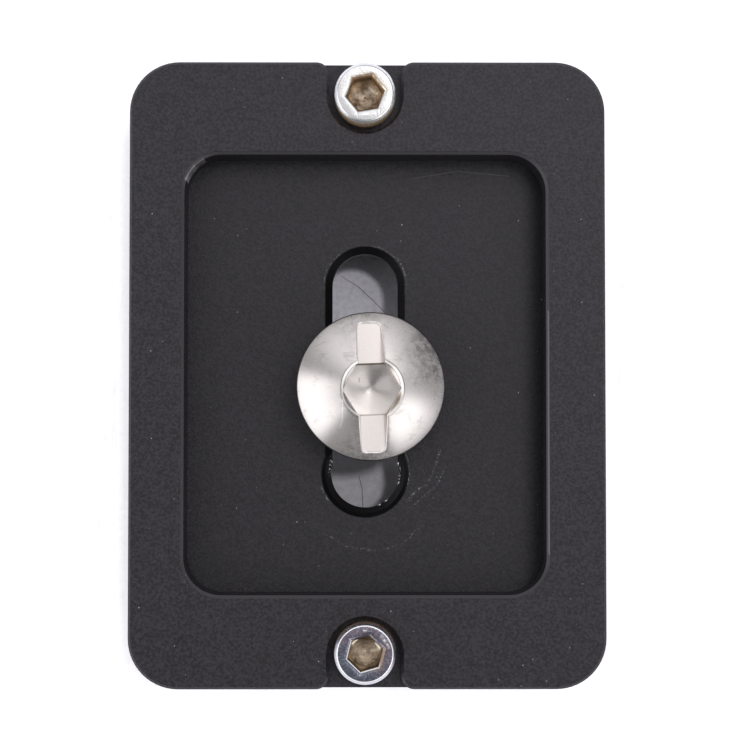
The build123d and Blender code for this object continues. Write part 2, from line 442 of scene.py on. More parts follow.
class SocketTarnish(Effect):
    """Where tarnish sits in a screw's socket: 0 outside, about a half on its walls and 1 on its floor."""

    title = "socket_tarnish"
    values = ("Depth", "Past Hex", "Floor Radius", "Floor Depth")
    result = "Share"
    uneven_scale: ClassVar[float] = 3600.0
    least_floor: ClassVar[float] = 0.7
    largest_floor: ClassVar[float] = 1.3
    full_floor: ClassVar[float] = 0.84
    started_depth: ClassVar[float] = 0.9
    wall_share: ClassVar[float] = 0.5

    @classmethod
    def write(cls, writer: NodeWriter, given: Any) -> Socket:
        """See Effect.write."""
        uneven = writer.noise(given["Vector"], cls.uneven_scale, detail=4.0, roughness=0.65)
        inside = writer.step(given["Past Hex"], 0.03 * MM, 0.0)
        below = writer.step(given["Depth"], 0.12 * MM, 0.24 * MM)
        spread = writer.scale_to(uneven, cls.least_floor, cls.largest_floor)
        ragged = writer.product(given["Floor Radius"], spread)
        radius = writer.from_axis(given["Vector"])
        floor = writer.step(radius, ragged, writer.product(ragged, cls.full_floor))
        started = writer.product(given["Floor Depth"], cls.started_depth)
        deep = writer.step(given["Depth"], started, given["Floor Depth"])
        wall = writer.product(inside, below, cls.wall_share)
        return writer.math("MULTIPLY_ADD", writer.product(floor, deep), 1.0 - cls.wall_share, wall)


class Finish(ABC):
    """A finish that makes its own material."""

    def start(self, name: str) -> tuple[bpy.types.Material, NodeWriter, bpy.types.Node]:
        """Start a material.

        Args:
            name: The material's name.

        Returns:
            The material, the writer of its nodes and its shader.
        """
        material = bpy.data.materials.new(name)
        material.use_nodes = True
        shader = material.node_tree.nodes["Principled BSDF"]
        return material, NodeWriter(material.node_tree), shader

    @abstractmethod
    def material(self) -> bpy.types.Material:
        """The finish as a material."""

    def dress(self, piece: bpy.types.Object) -> None:
        """Give the finish to a piece, in place of what it had."""
        piece.data.materials.clear()
        piece.data.materials.append(self.material())


@dataclass(frozen=True)
class ArcMark:
    """A rub mark along an arc, in millimetres, and in degrees about its own centre."""

    centre: tuple[float, float]
    radius: float
    width: float
    middle: float
    spread: float
    grain: float
    strength: float

    def mask(self, writer: NodeWriter, place: Socket) -> Socket:
        """The mark's mask."""
        mark = RubArc.on(
            writer,
            writer.seen_from(place, (self.centre[0] * MM, self.centre[1] * MM, 0.0)),
            Radius=self.radius * MM,
            Width=self.width * MM,
            Middle=math.radians(self.middle),
            Spread=math.radians(self.spread),
            Grain=self.grain,
        )
        return writer.product(mark, self.strength)


@dataclass(frozen=True)
class HairMark:
    """A thin straight mark, in millimetres, seen along Z."""

    start: tuple[float, float]
    end: tuple[float, float]
    width: float
    strength: float

    def mask(self, writer: NodeWriter, place: Socket) -> Socket:
        """The mark's mask."""
        start = (self.start[0] * MM, self.start[1] * MM, 0.0)
        end = (self.end[0] * MM, self.end[1] * MM, 0.0)
        mark = HairLine.on(writer, place, Start=start, End=end, Width=self.width * MM)
        return writer.product(mark, self.strength)


def marked(writer: NodeWriter, place: Socket, marks: tuple[ArcMark | HairMark, ...]) -> Socket:
    """The mask of some marks together."""
    return writer.largest(*(mark.mask(writer, place) for mark in marks))


@dataclass
class PlateSpot:
    """A place on the plate as its finish reads it, with masks of the parts that it may lie in."""

    place: Socket
    z: Socket
    grain: Socket
    in_pocket: Socket
    in_slot: Socket
    on_floor: Socket
    # Painted shade along the pocket's right wall.
    wall_shade: Socket


@dataclass(frozen=True)
class BlackAnodised(Finish):
    """Fine matte black anodising, dusty and scuffed on the pocket floor, with painted shade, painted
    highlights and worn thread.
    """

    colour: Colour = (0.002, 0.0018, 0.0024)
    lighter: Colour = (0.0195, 0.0176, 0.0214)
    tint: Colour = (0.97, 0.93, 1.0)
    dust: Colour = (0.24, 0.235, 0.24)
    edge: Colour = (0.023, 0.0215, 0.0245)
    # The scuffs' colour, also used for the painted highlights on the rim.
    rubbed_and_glint: Colour = (0.42, 0.41, 0.42)
    # Worn metal on the thread, painted near white as its glints.
    bare_and_glint: Colour = (0.95, 0.95, 0.96)
    black_share: float = 0.1
    roughness: float = 0.43
    unevenness: float = 0.08
    specular: float = 0.5
    # Painted shade: the slot below the pocket floor is blackened in colour and by a black metallic.
    slot_shade: float = 0.9
    slot_shade_metal: float = 0.5
    # Painted shade: the pocket floor is darker than the rim.
    floor_shade: float = 0.4
    # Painted shade along the pocket's right wall, in the base colour and as a black metallic.
    wall_shade_strength: float = 0.45
    grain_scale: float = 4400.0
    grain_depth: float = 0.016 * MM
    speck_scale: float = 1050.0
    speck_size: float = 0.075
    floor_z: float = 6.9 * MM
    rim_z: float = 10.4 * MM
    rim_chamfer: float = 0.27 * MM
    glint_foot: tuple[float, float] = (8.1 * MM, 8.7 * MM)
    wall_shade_reach: tuple[float, float] = (12.4 * MM, 14.1 * MM)
    pocket_reach: tuple[float, float] = (15.1 * MM, 18.3 * MM)
    slot_reach: tuple[float, float] = (4.2 * MM, 12.0 * MM)
    reach_fade: float = 0.2 * MM
    floor_marks: tuple[ArcMark | HairMark, ...] = (
        ArcMark((0.2, -8.4), radius=5.75, width=0.12, middle=-86.0, spread=52.0, grain=8200.0, strength=0.3),
        ArcMark((0.5, -5.6), radius=5.3, width=0.16, middle=-30.0, spread=36.0, grain=9200.0, strength=0.42),
        ArcMark((0.9, -5.3), radius=5.9, width=0.12, middle=-44.0, spread=26.0, grain=9400.0, strength=0.3),
        ArcMark(SLOT_FRONT, radius=3.34, width=0.12, middle=30.0, spread=56.0, grain=9800.0, strength=0.5),
        ArcMark(SLOT_FRONT, radius=3.34, width=0.1, middle=152.0, spread=38.0, grain=9800.0, strength=0.3),
        ArcMark(KEYHOLE, radius=3.6, width=0.1, middle=10.0, spread=38.0, grain=9200.0, strength=0.7),
        ArcMark(KEYHOLE, radius=3.64, width=0.1, middle=206.0, spread=16.0, grain=9200.0, strength=0.4),
        HairMark((3.6, 16.1), (7.4, 16.7), width=0.05, strength=0.08),
        HairMark((7.4, 16.7), (11.6, 16.3), width=0.05, strength=0.08),
    )
    # Painted highlights: a glint on the chamfer at the pocket's upper left corner, and a bright line along
    # its right rim.
    rim_glints: tuple[HairMark, ...] = (
        HairMark((-14.4, 15.6), (-13.76, 16.55), width=0.26, strength=0.55),
        HairMark((-13.76, 16.55), (-13.1, 17.08), width=0.22, strength=0.4),
        HairMark((14.44, 5.0), (14.44, -14.3), width=0.1, strength=0.2),
    )
    # The thread's crests and cut ends: worn to metal, and painted bright as their glints.
    thread_glints_and_wear: tuple[ArcMark, ...] = (
        ArcMark(KEYHOLE, radius=2.8, width=0.1, middle=156.0, spread=30.0, grain=7600.0, strength=1.0),
        ArcMark(KEYHOLE, radius=2.8, width=0.1, middle=6.0, spread=32.0, grain=7600.0, strength=1.0),
        ArcMark(KEYHOLE, radius=2.8, width=0.12, middle=-58.0, spread=12.0, grain=5200.0, strength=1.0),
        ArcMark((2.0, -7.2), radius=5.05, width=0.14, middle=180.0, spread=12.0, grain=7600.0, strength=0.6),
    )

    def material(self) -> bpy.types.Material:
        """The anodised finish."""
        material, writer, shader = self.start("black_anodised")
        spot = self.read_spot(writer)
        worn = self.worn(writer, spot, self.shaded(writer, spot))
        writer.feed(shader.inputs["Base Color"], worn)
        # The black metallic is painted shade: it takes the sheen off the slot and off the floor by the right
        # wall.
        dark = writer.largest(writer.product(spot.in_slot, self.slot_shade_metal), spot.wall_shade)
        writer.feed(shader.inputs["Metallic"], dark)
        rough = writer.around(spot.grain, self.roughness, self.unevenness)
        writer.feed(shader.inputs["Roughness"], rough)
        writer.feed(shader.inputs["Normal"], writer.bump(spot.grain, self.grain_depth))
        shader.inputs["Specular IOR Level"].default_value = self.specular
        shader.inputs["Specular Tint"].default_value = opaque(self.tint)
        return material

    def read_spot(self, writer: NodeWriter) -> PlateSpot:
        """Read a place on the plate: its height, its grain, and whether it is in the pocket or the slot."""
        place = writer.object_place()
        x, _, z = writer.split(place)
        in_pocket = writer.within(place, self.pocket_reach, self.reach_fade)
        at_slot = writer.within(place, self.slot_reach, self.reach_fade)
        under_floor = writer.step(z, self.floor_z - 0.02 * MM, self.floor_z - 0.1 * MM)
        on_floor = writer.product(in_pocket, writer.step(z, self.floor_z + 0.2 * MM, self.floor_z + 0.1 * MM))
        return PlateSpot(
            place=place,
            z=z,
            grain=FineGrain.on(writer, place, Scale=self.grain_scale),
            in_pocket=in_pocket,
            in_slot=writer.product(at_slot, under_floor),
            on_floor=on_floor,
            # Painted shade along the pocket's right wall.
            wall_shade=writer.product(on_floor, writer.step(x, *self.wall_shade_reach), self.wall_shade_strength),
        )

    def shaded(self, writer: NodeWriter, spot: PlateSpot) -> Socket:
        """The anodising's colour, with painted shade in the slot, on the pocket floor and along its right
        wall.
        """
        black = dimmed(self.colour, self.black_share)
        ground = writer.mix(writer.step(spot.grain, 0.36, 0.64), self.colour, self.lighter)
        # Painted shade in the slot.
        slotted = writer.mix(writer.product(spot.in_slot, self.slot_shade), ground, black)
        # Painted shade on the pocket floor.
        floored = writer.mix(writer.product(spot.on_floor, self.floor_shade), slotted, self.colour)
        return writer.mix(spot.wall_shade, floored, black)

    def worn(self, writer: NodeWriter, spot: PlateSpot, shaded: Socket) -> Socket:
        """Add the lighter rim of the pocket, its painted highlights, the dust, the scuffs, and the worn metal
        and painted glints of the thread.

        Args:
            writer: Writes into the material's tree.
            spot: The place on the plate.
            shaded: The anodising's own colour there.

        Returns:
            The colour with its wear.
        """
        rimmed = writer.mix(writer.product(spot.in_pocket, self.rim_mask(writer, spot)), shaded, self.edge)
        # Painted highlights on the rim, in the scuffs' colour.
        glinting = writer.mix(self.glint_mask(writer, spot), rimmed, self.rubbed_and_glint)
        specks = DustSpecks.on(writer, spot.place, Scale=self.speck_scale, Size=self.speck_size)
        above_slot = writer.math("SUBTRACT", 1.0, spot.in_slot)
        dusty = writer.mix(writer.product(specks, above_slot), glinting, self.dust)
        scuffs = writer.product(marked(writer, spot.place, self.floor_marks), spot.on_floor, above_slot)
        rubbed_and_glint = writer.mix(scuffs, dusty, self.rubbed_and_glint)
        low = writer.step(spot.z, self.floor_z - 0.1 * MM, self.floor_z - 0.2 * MM)
        # Worn metal with painted glints on the thread, below the pocket floor.
        threaded = writer.product(marked(writer, spot.place, self.thread_glints_and_wear), low)
        return writer.mix(threaded, rubbed_and_glint, self.bare_and_glint)

    def rim_mask(self, writer: NodeWriter, spot: PlateSpot) -> Socket:
        """The heights of the pocket's chamfered rim, which is worn a little lighter."""
        foot = self.rim_z - self.rim_chamfer
        started = writer.step(spot.z, foot - 0.05 * MM, foot + 0.05 * MM)
        return writer.product(started, writer.step(spot.z, self.rim_z - 0.01 * MM, self.rim_z - 0.04 * MM))

    def glint_mask(self, writer: NodeWriter, spot: PlateSpot) -> Socket:
        """The painted highlights on the pocket's rim and on the upper part of its walls."""
        high = writer.step(spot.z, *self.glint_foot)
        below_rim = writer.step(spot.z, self.rim_z - 0.005 * MM, self.rim_z - 0.02 * MM)
        return writer.product(marked(writer, spot.place, self.rim_glints), high, below_rim)


@dataclass
class ScrewSpot:
    """A place on a screw as its finish reads it, from the screw's own axis."""

    place: Socket
    radius: Socket
    depth: Socket
    past_hex: Socket
    grain: Socket

    def on_sides(self, writer: NodeWriter, *sectors: Sector) -> Socket:
        """The mask of the sides of the screw that some sectors name."""
        return writer.largest(*(sector.mask(writer, self.place, self.radius) for sector in sectors))

    def speckled(self, writer: NodeWriter, colour: Colour, share: float) -> Socket:
        """A colour that the grain dims down to a share of its brightness."""
        return writer.mix(writer.step(self.grain, 0.3, 0.7), dimmed(colour, share), colour)


@dataclass(frozen=True)
class SatinStainless(Finish):
    """Turned stainless steel with a satin skin and mottling in places, with painted highlights on the lips
    round its recesses, and painted shade and dark reflection in places.
    """

    axis_foot: Vector
    axis_turn: Euler
    head_radius: float = 5.85 * MM
    head_foot: float = 11.3 * MM
    dome_radius: float = 8.878 * MM
    dome_top: float = 14.3 * MM
    recess_reach: float = 5.3 * MM
    coin_half_width: float = 0.95 * MM
    socket_centre: tuple[float, float, float] = (0.0, -0.24 * MM, 0.0)
    hex_half_width: float = 2.0 * MM
    mouth_radius: float = 2.5 * MM
    colour: Colour = (0.745, 0.704, 0.693)
    floor_colour: Colour = (0.845, 0.785, 0.763)
    hex_colour: Colour = (0.65, 0.605, 0.588)
    # Colour of the tool's lines, and of the painted shade round the socket's mouth.
    line_and_shade_colour: Colour = (0.2, 0.18, 0.17)
    # Colour of the brushing, and of the mottling with its painted dark reflection.
    mottle_and_dark_reflection: Colour = (0.27, 0.26, 0.255)
    # Dark colour of the dash, and of the painted dark reflection at the rim.
    dark: Colour = (0.1, 0.095, 0.095)
    # A brown tint on one side of the countersink.
    brown_tint: Colour = (0.5, 0.4, 0.32)
    # Painted shade colour for the socket's deep edge.
    corner_shade_colour: Colour = (0.17, 0.125, 0.09)
    # Painted highlight colour of the lips and the scratches.
    lip_highlight: Colour = (0.96, 0.95, 0.945)
    lip_highlight_metal: float = 0.3
    lip_reach_rear: float = 0.11 * MM
    lip_reach_front: float = 0.24 * MM
    lip_line_pitch: float = 0.09 * MM
    scratch_brightness: float = 0.8
    roughness: float = 0.29
    unevenness: float = 0.06
    anisotropy: float = 0.8
    grain_scale: float = 6400.0
    grain_depth: float = 0.001 * MM
    mottle_scale: float = 1700.0
    brushing_turn: float = math.radians(86.0)
    brushing_scale: float = 2100.0
    brushing_width: float = 0.09
    brushing_strength: float = 0.3
    # Mottling where the dome reflects dark surroundings: pitting, deepened as painted dark reflection.
    mottled_dark_reflection: tuple[Sector, ...] = (Sector(24, 28, 0.9), Sector(264, 28, 0.6), Sector(100, 24, 0.4))
    # The side of the countersink that is browner.
    brown_side: Sector = Sector(318, 58, 0.9)
    # Sides with painted shade round the socket's mouth.
    outline_shaded: tuple[Sector, ...] = (Sector(35, 70, 0.75), Sector(180, 80, 0.6), Sector(320, 40, 0.5))
    # Sides where the socket's deep edge carries painted shade.
    corner_shade_sides: tuple[Sector, ...] = (Sector(90, 44), Sector(270, 44, 0.6), Sector(200, 110, 0.35))
    scratches: tuple[HairMark, ...] = (
        HairMark((-2.34, -0.9), (-2.44, -2.6), width=0.042, strength=1.0),
        HairMark((-2.44, -2.6), (-2.6, -3.2), width=0.034, strength=0.9),
        HairMark((-2.62, -1.7), (-2.66, -2.4), width=0.022, strength=0.5),
        HairMark((2.95, 1.1), (3.9, 1.16), width=0.022, strength=0.5),
        HairMark((3.0, 1.5), (3.3, 1.2), width=0.02, strength=0.5),
    )
    dash: HairMark = HairMark((-0.89, 0.72), (-0.88, 0.4), width=0.06, strength=0.75)

    def material(self) -> bpy.types.Material:
        """The satin finish."""
        material, writer, shader = self.start("satin_stainless")
        spot = self.read_spot(writer)
        lines = self.turned_lines(writer, spot)
        # The scratches are real, painted near white as their highlights.
        scratch_highlights = writer.product(marked(writer, spot.place, self.scratches), self.scratch_brightness)
        # Painted highlights: the lips and the scratches turn near white and less metallic.
        bright = writer.largest(self.lip_highlight_mask(writer, spot, lines), scratch_highlights)
        colour = self.recess_colour(writer, spot, lines, self.dome_colour(writer, spot))
        writer.feed(shader.inputs["Base Color"], writer.mix(bright, colour, self.lip_highlight))
        writer.feed(shader.inputs["Metallic"], writer.scale_to(bright, 1.0, self.lip_highlight_metal))
        rough = writer.around(spot.grain, self.roughness, self.unevenness)
        writer.feed(shader.inputs["Roughness"], rough)
        writer.feed(shader.inputs["Normal"], writer.bump(spot.grain, self.grain_depth))
        tangent = writer.add("ShaderNodeTangent", direction_type="RADIAL", axis="Z").outputs[0]
        writer.feed(shader.inputs["Tangent"], tangent)
        shader.inputs["Anisotropic"].default_value = self.anisotropy
        shader.inputs["Anisotropic Rotation"].default_value = QUARTER_TURN
        return material

    def read_spot(self, writer: NodeWriter) -> ScrewSpot:
        """Read a place on the screw: how far from the axis, how deep under the dome, how far past the hex."""
        place = writer.seen_from(writer.object_place(), self.axis_foot, self.axis_turn)
        _, _, z = writer.split(place)
        radius = writer.from_axis(place)
        under = writer.math("SUBTRACT", self.dome_radius**2, writer.product(radius, radius))
        dome = writer.math("ADD", writer.math("SQRT", under), self.dome_top - self.dome_radius)
        from_socket = writer.vector_math("SUBTRACT", place, self.socket_centre)
        return ScrewSpot(
            place=place,
            radius=radius,
            depth=writer.math("SUBTRACT", dome, z),
            past_hex=HexDistance.on(writer, from_socket, **{"Half Width": self.hex_half_width}),
            grain=FineGrain.on(writer, place, Scale=self.grain_scale),
        )

    def turned_lines(self, writer: NodeWriter, spot: ScrewSpot) -> Socket:
        """The tool's lines round the recesses, by their depth under the dome."""
        return writer.noise(writer.join(spot.depth, 0.0, 0.0), 1.0 / self.lip_line_pitch)

    def in_recesses(self, writer: NodeWriter, spot: ScrewSpot) -> Socket:
        """A mask that is 1 as far out as the coin slot reaches."""
        return writer.step(spot.radius, self.recess_reach, self.recess_reach - 0.1 * MM)

    def beside_coin(self, writer: NodeWriter, spot: ScrewSpot, fade: float) -> Socket:
        """A mask that is 0 across the coin slot and 1 past a fade beside it."""
        x, _, _ = writer.split(spot.place)
        return writer.step(writer.math("ABSOLUTE", x), self.coin_half_width, self.coin_half_width + fade)

    def lip_highlight_mask(self, writer: NodeWriter, spot: ScrewSpot, lines: Socket) -> Socket:
        """Painted highlights on the lips of the coin slot and the socket, deeper towards the front."""
        _, y, _ = writer.split(spot.place)
        reach = writer.step(y, -1.0 * MM, 0.8 * MM, self.lip_reach_rear, self.lip_reach_front)
        started = writer.step(spot.depth, 0.018 * MM, 0.035 * MM)
        ended = writer.step(spot.depth, reach, writer.product(reach, 0.75))
        broken = writer.step(lines, 0.38, 0.56, 0.3, 1.0)
        return writer.product(started, ended, self.in_recesses(writer, spot), broken)

    def dome_colour(self, writer: NodeWriter, spot: ScrewSpot) -> Socket:
        """The dome's colour, with its brushing, its mottling, the painted shade round the socket and the
        painted dark reflection at its rim.
        """
        across = writer.seen_from(spot.place, (0.0, 0.0, 0.0), (0.0, 0.0, self.brushing_turn))
        brushed = FineScratches.on(writer, across, Scale=self.brushing_scale, Width=self.brushing_width)
        satin = spot.speckled(writer, self.colour, 0.93)
        brushed_satin = writer.mix(writer.product(brushed, self.brushing_strength), satin, self.mottle_and_dark_reflection)
        # Mottling with painted dark reflection.
        mottled_dark_reflection = writer.mix(self.mottle_and_dark_reflection_mask(writer, spot), brushed_satin, self.mottle_and_dark_reflection)
        # Painted shade round the socket's mouth.
        outline_shaded = writer.mix(self.outline_shade_mask(writer, spot), mottled_dark_reflection, self.line_and_shade_colour)
        # Painted dark reflection: a thin dark line round the head's rim.
        rim = writer.step(spot.radius, self.head_radius - 0.12 * MM, self.head_radius - 0.04 * MM)
        return writer.mix(rim, outline_shaded, self.dark)

    def recess_colour(self, writer: NodeWriter, spot: ScrewSpot, lines: Socket, dome: Socket) -> Socket:
        """Add the coin slot's floor, the socket with the brown tint beside it, and painted shade along the
        socket's deep edge.

        Args:
            writer: Writes into the material's tree.
            spot: The place on the screw.
            lines: The tool's lines there.
            dome: The dome's colour there.

        Returns:
            The steel's colour there.
        """
        _, _, z = writer.split(spot.place)
        head = writer.step(z, self.head_foot, self.head_foot + 0.1 * MM)
        sunk = writer.step(spot.depth, 0.1 * MM, 0.2 * MM)
        recess = writer.product(sunk, self.in_recesses(writer, spot), head)
        floored = writer.mix(recess, dome, spot.speckled(writer, self.floor_colour, 0.96))
        past_hex = writer.step(spot.past_hex, 0.0, 0.05 * MM)
        crescent = writer.product(recess, self.beside_coin(writer, spot, 0.1 * MM), past_hex)
        lined = writer.product(crescent, writer.step(lines, 0.54, 0.42), 0.8)
        in_hex = writer.product(writer.step(spot.past_hex, 0.02 * MM, -0.04 * MM), head)
        hollowed = writer.mix(in_hex, writer.mix(lined, floored, self.line_and_shade_colour), self.hex_colour)
        # Browner on one side of the countersink.
        brown_side = writer.product(crescent, spot.on_sides(writer, self.brown_side))
        browned = writer.mix(brown_side, hollowed, self.brown_tint)
        # Painted shade along the socket's edge, deep in it, on the listed sides.
        edge = writer.step(writer.math("ABSOLUTE", spot.past_hex), 0.09 * MM, 0.02 * MM)
        deep = writer.step(spot.depth, 0.5 * MM, 0.7 * MM)
        corner_shade = writer.product(edge, deep, head, spot.on_sides(writer, *self.corner_shade_sides))
        darkened = writer.mix(corner_shade, browned, self.corner_shade_colour)
        return writer.mix(self.dash.mask(writer, spot.place), darkened, self.dark)

    def outline_shade_mask(self, writer: NodeWriter, spot: ScrewSpot) -> Socket:
        """Painted shade: the fine dark line on the dome round the socket's mouth, stronger on some sides."""
        radius = writer.from_axis(writer.vector_math("SUBTRACT", spot.place, self.socket_centre))
        off_line = writer.math("ABSOLUTE", writer.math("SUBTRACT", radius, self.mouth_radius))
        line = writer.step(off_line, 0.06 * MM, 0.02 * MM)
        sides = spot.on_sides(writer, *self.outline_shaded)
        return writer.product(line, self.beside_coin(writer, spot, 0.3 * MM), sides)

    def mottle_and_dark_reflection_mask(self, writer: NodeWriter, spot: ScrewSpot) -> Socket:
        """Dark mottling on some sides of the dome, denser towards the rim: pitting, darkened as painted dark
        reflection on those sides.
        """
        sides = spot.on_sides(writer, *self.mottled_dark_reflection)
        outer = writer.step(spot.radius, 2.8 * MM, self.head_radius, 0.2, 1.0)
        coarse = writer.noise(spot.place, self.mottle_scale, detail=5.0, roughness=0.68)
        return writer.product(sides, outer, writer.step(coarse, 0.36, 0.62))


@dataclass(frozen=True)
class NickelLook:
    """How one safety screw has come to look: its face, its edges and its socket."""

    face: Colour
    film: Colour
    film_cover: float
    film_side: Sector
    streaks: Colour
    streaking: float
    scoring: float
    halo: Colour
    halo_side: Sector
    scuffs: tuple[HairMark, ...]
    rim_line: Colour
    rim_where: tuple[Sector, ...]
    bevel: Colour
    bevel_light_sides: tuple[Sector, ...]
    lip_highlight_sides: tuple[Sector, ...]
    # Sides with painted highlights on the socket's mouth.
    gilt_lips: tuple[Sector, ...]
    side_stain: Colour
    stained_side: Sector
    stain_past: float
    socket_wall: Colour
    socket_floor: Colour
    socket_dark: Colour
    socket_centre: Colour
    # Painted highlights in the socket.
    glints: tuple[HairMark, ...]
    turning: float


@dataclass(frozen=True)
class NickelPlate(Finish):
    """Nickel plate on a socket screw, with a dull film, gilt and painted light and shade on its edges, and
    brown tarnish and painted highlights in the socket.
    """

    name: str
    look: NickelLook
    centre: Vector
    top: float
    hex_turn: float
    hex_half_width: float = 1.25 * MM
    lip_width: float = 0.22 * MM
    bright_from: float = 0.03 * MM
    bright_to: float = 0.11 * MM
    face_radius: float = 2.2 * MM
    rim_line_width: float = 0.055 * MM
    floor_radius: float = 1.1 * MM
    floor_depth: float = 1.5 * MM
    halo_reach: float = 0.55 * MM
    ring_pitch: float = 0.14 * MM
    # Painted highlight colour of the socket's mouth.
    lip_highlight: Colour = (0.97, 0.96, 0.975)
    gilt: Colour = (0.31, 0.195, 0.095)
    scuff: Colour = (0.97, 0.96, 0.97)
    # Painted highlight colour in the socket.
    glint: Colour = (0.95, 0.85, 0.7)
    edge_metal: float = 0.25
    socket_dulling: float = 0.3
    roughness: float = 0.21
    unevenness: float = 0.07
    tarnish_roughness: float = 0.25
    film_roughness: float = 0.12
    grain_scale: float = 4600.0
    grain_depth: float = 0.012 * MM
    film_scale: float = 2600.0
    scratch_scale: float = 2200.0
    scratch_width: float = 0.07
    streak_scale: float = 15.0
    streak_drift: float = 160.0
    scuff_scale: float = 4200.0
    scoring_scale: float = 2900.0
    scoring_width: float = 0.1
    lip_scale: float = 3400.0
    dapple_scale: float = 1500.0

    def material(self) -> bpy.types.Material:
        """The plated finish."""
        material, writer, shader = self.start(self.name)
        spot = self.read_spot(writer)
        film = self.film_mask(writer, spot)
        tarnish = self.tarnish(writer, spot)
        # worn: the mask of the tinted side, the gilt, and the edges with painted light and shade.
        edged, worn = self.edges(writer, spot, self.face(writer, spot, film))
        writer.feed(shader.inputs["Base Color"], self.socket(writer, spot, tarnish, edged))
        in_socket = writer.step(tarnish, 0.0, 0.3)
        edges_outside = writer.product(worn, writer.math("SUBTRACT", 1.0, in_socket))
        plain = writer.largest(edges_outside, writer.product(in_socket, self.socket_dulling))
        writer.feed(shader.inputs["Metallic"], writer.scale_to(plain, 1.0, self.edge_metal))
        tarnished = writer.product(tarnish, self.tarnish_roughness)
        dull = writer.largest(tarnished, writer.product(film, self.film_roughness))
        rough = writer.around(spot.grain, self.roughness, self.unevenness)
        writer.feed(shader.inputs["Roughness"], writer.math("ADD", rough, dull))
        scratches = FineScratches.on(writer, spot.place, Scale=self.scratch_scale, Width=self.scratch_width)
        height = writer.math("SUBTRACT", spot.grain, scratches)
        writer.feed(shader.inputs["Normal"], writer.bump(height, self.grain_depth))
        return material

    def read_spot(self, writer: NodeWriter) -> ScrewSpot:
        """Read a place on the screw: how far from the axis, how deep under its top, how far past the hex."""
        place = writer.seen_from(writer.object_place(), self.centre)
        _, _, z = writer.split(place)
        in_line = writer.seen_from(place, (0.0, 0.0, 0.0), (0.0, 0.0, self.hex_turn))
        return ScrewSpot(
            place=place,
            radius=writer.from_axis(place),
            depth=writer.math("SUBTRACT", self.top, z),
            past_hex=HexDistance.on(writer, in_line, **{"Half Width": self.hex_half_width}),
            grain=FineGrain.on(writer, place, Scale=self.grain_scale),
        )

    def tarnish(self, writer: NodeWriter, spot: ScrewSpot) -> Socket:
        """The share of tarnish, which may reach past the socket's mouth."""
        return SocketTarnish.on(writer, spot.place, **{
            "Depth": writer.math("ADD", spot.depth, self.look.stain_past),
            "Past Hex": writer.math("SUBTRACT", spot.past_hex, self.look.stain_past),
            "Floor Radius": self.floor_radius,
            "Floor Depth": self.floor_depth,
        })

    def film_mask(self, writer: NodeWriter, spot: ScrewSpot) -> Socket:
        """The dull film, denser on one side of the face."""
        side = spot.on_sides(writer, self.look.film_side)
        patches = writer.noise(spot.place, self.film_scale, detail=6.0, roughness=0.78)
        leaning = writer.math("MULTIPLY_ADD", side, 0.2, patches)
        edge = 0.85 - 0.5 * self.look.film_cover
        return writer.step(leaning, edge - 0.15, edge + 0.17)

    def face(self, writer: NodeWriter, spot: ScrewSpot, film: Socket) -> Socket:
        """The face's colour, with its film, its radial streaks, its scores and its scuffs."""
        plated = writer.mix(film, self.look.face, self.look.film)
        streaked = writer.mix(self.streak_mask(writer, spot), plated, self.look.streaks)
        scores = FineScratches.on(writer, spot.place, Scale=self.scoring_scale, Width=self.scoring_width)
        dulled = writer.mix(writer.product(scores, self.look.scoring), streaked, self.look.film)
        near_hex = writer.step(spot.past_hex, self.halo_reach, 0.1 * MM)
        halo = writer.product(near_hex, spot.on_sides(writer, self.look.halo_side))
        haloed = writer.mix(halo, dulled, self.look.halo)
        ragged = writer.noise(spot.place, self.scuff_scale, detail=5.0, roughness=0.75)
        scuffs = writer.product(marked(writer, spot.place, self.look.scuffs), writer.step(ragged, 0.4, 0.56))
        return writer.mix(scuffs, haloed, self.scuff)

    def streak_mask(self, writer: NodeWriter, spot: ScrewSpot) -> Socket:
        """Fine streaks that run outwards on the face."""
        x, y, _ = writer.split(spot.place)
        outwards = writer.vector_math("NORMALIZE", writer.join(x, y, 0.0))
        drift = writer.join(0.0, 0.0, writer.product(spot.radius, self.streak_drift))
        drawn_out = writer.vector_math("ADD", outwards, drift)
        streaks = writer.noise(drawn_out, self.streak_scale, detail=4.0, roughness=0.7)
        return writer.product(writer.step(streaks, 0.48, 0.7), self.look.streaking)

    def edges(self, writer: NodeWriter, spot: ScrewSpot, face: Socket) -> tuple[Socket, Socket]:
        """Add the side, the bevel with its painted reflection, the painted line along it, light on the rear
        screw and dark on the front, and the socket's mouth.

        Args:
            writer: Writes into the material's tree.
            spot: The place on the screw.
            face: The face's colour.

        Returns:
            The colour with these edges, and the mask of the tinted side, the bevel, the line and the socket's
            mouth.
        """
        outside = writer.step(spot.radius, self.face_radius, self.face_radius + 0.05 * MM)
        low = writer.step(spot.depth, 0.12 * MM, 0.4 * MM)
        side = writer.product(low, outside, spot.on_sides(writer, self.look.stained_side))
        sided = writer.mix(side, face, self.look.side_stain)
        high = writer.step(spot.depth, 0.36 * MM, 0.26 * MM)
        # Painted reflection on the bevel, on the listed sides.
        bevel = writer.product(outside, spot.on_sides(writer, *self.look.bevel_light_sides), high)
        bevelled = writer.mix(bevel, sided, self.look.bevel)
        # The line round the face is a painted highlight on the rear screw and painted shade on the front.
        off_line = writer.math("ABSOLUTE", writer.math("SUBTRACT", spot.radius, self.face_radius))
        line = writer.step(off_line, self.rim_line_width, self.rim_line_width / 3)
        line = writer.product(line, spot.on_sides(writer, *self.look.rim_where))
        lined = writer.mix(line, bevelled, self.look.rim_line)
        gilt, bright = self.lip_masks(writer, spot)
        colour = writer.mix(bright, writer.mix(gilt, lined, self.gilt), self.lip_highlight)
        return colour, writer.largest(side, bevel, line, gilt, bright)

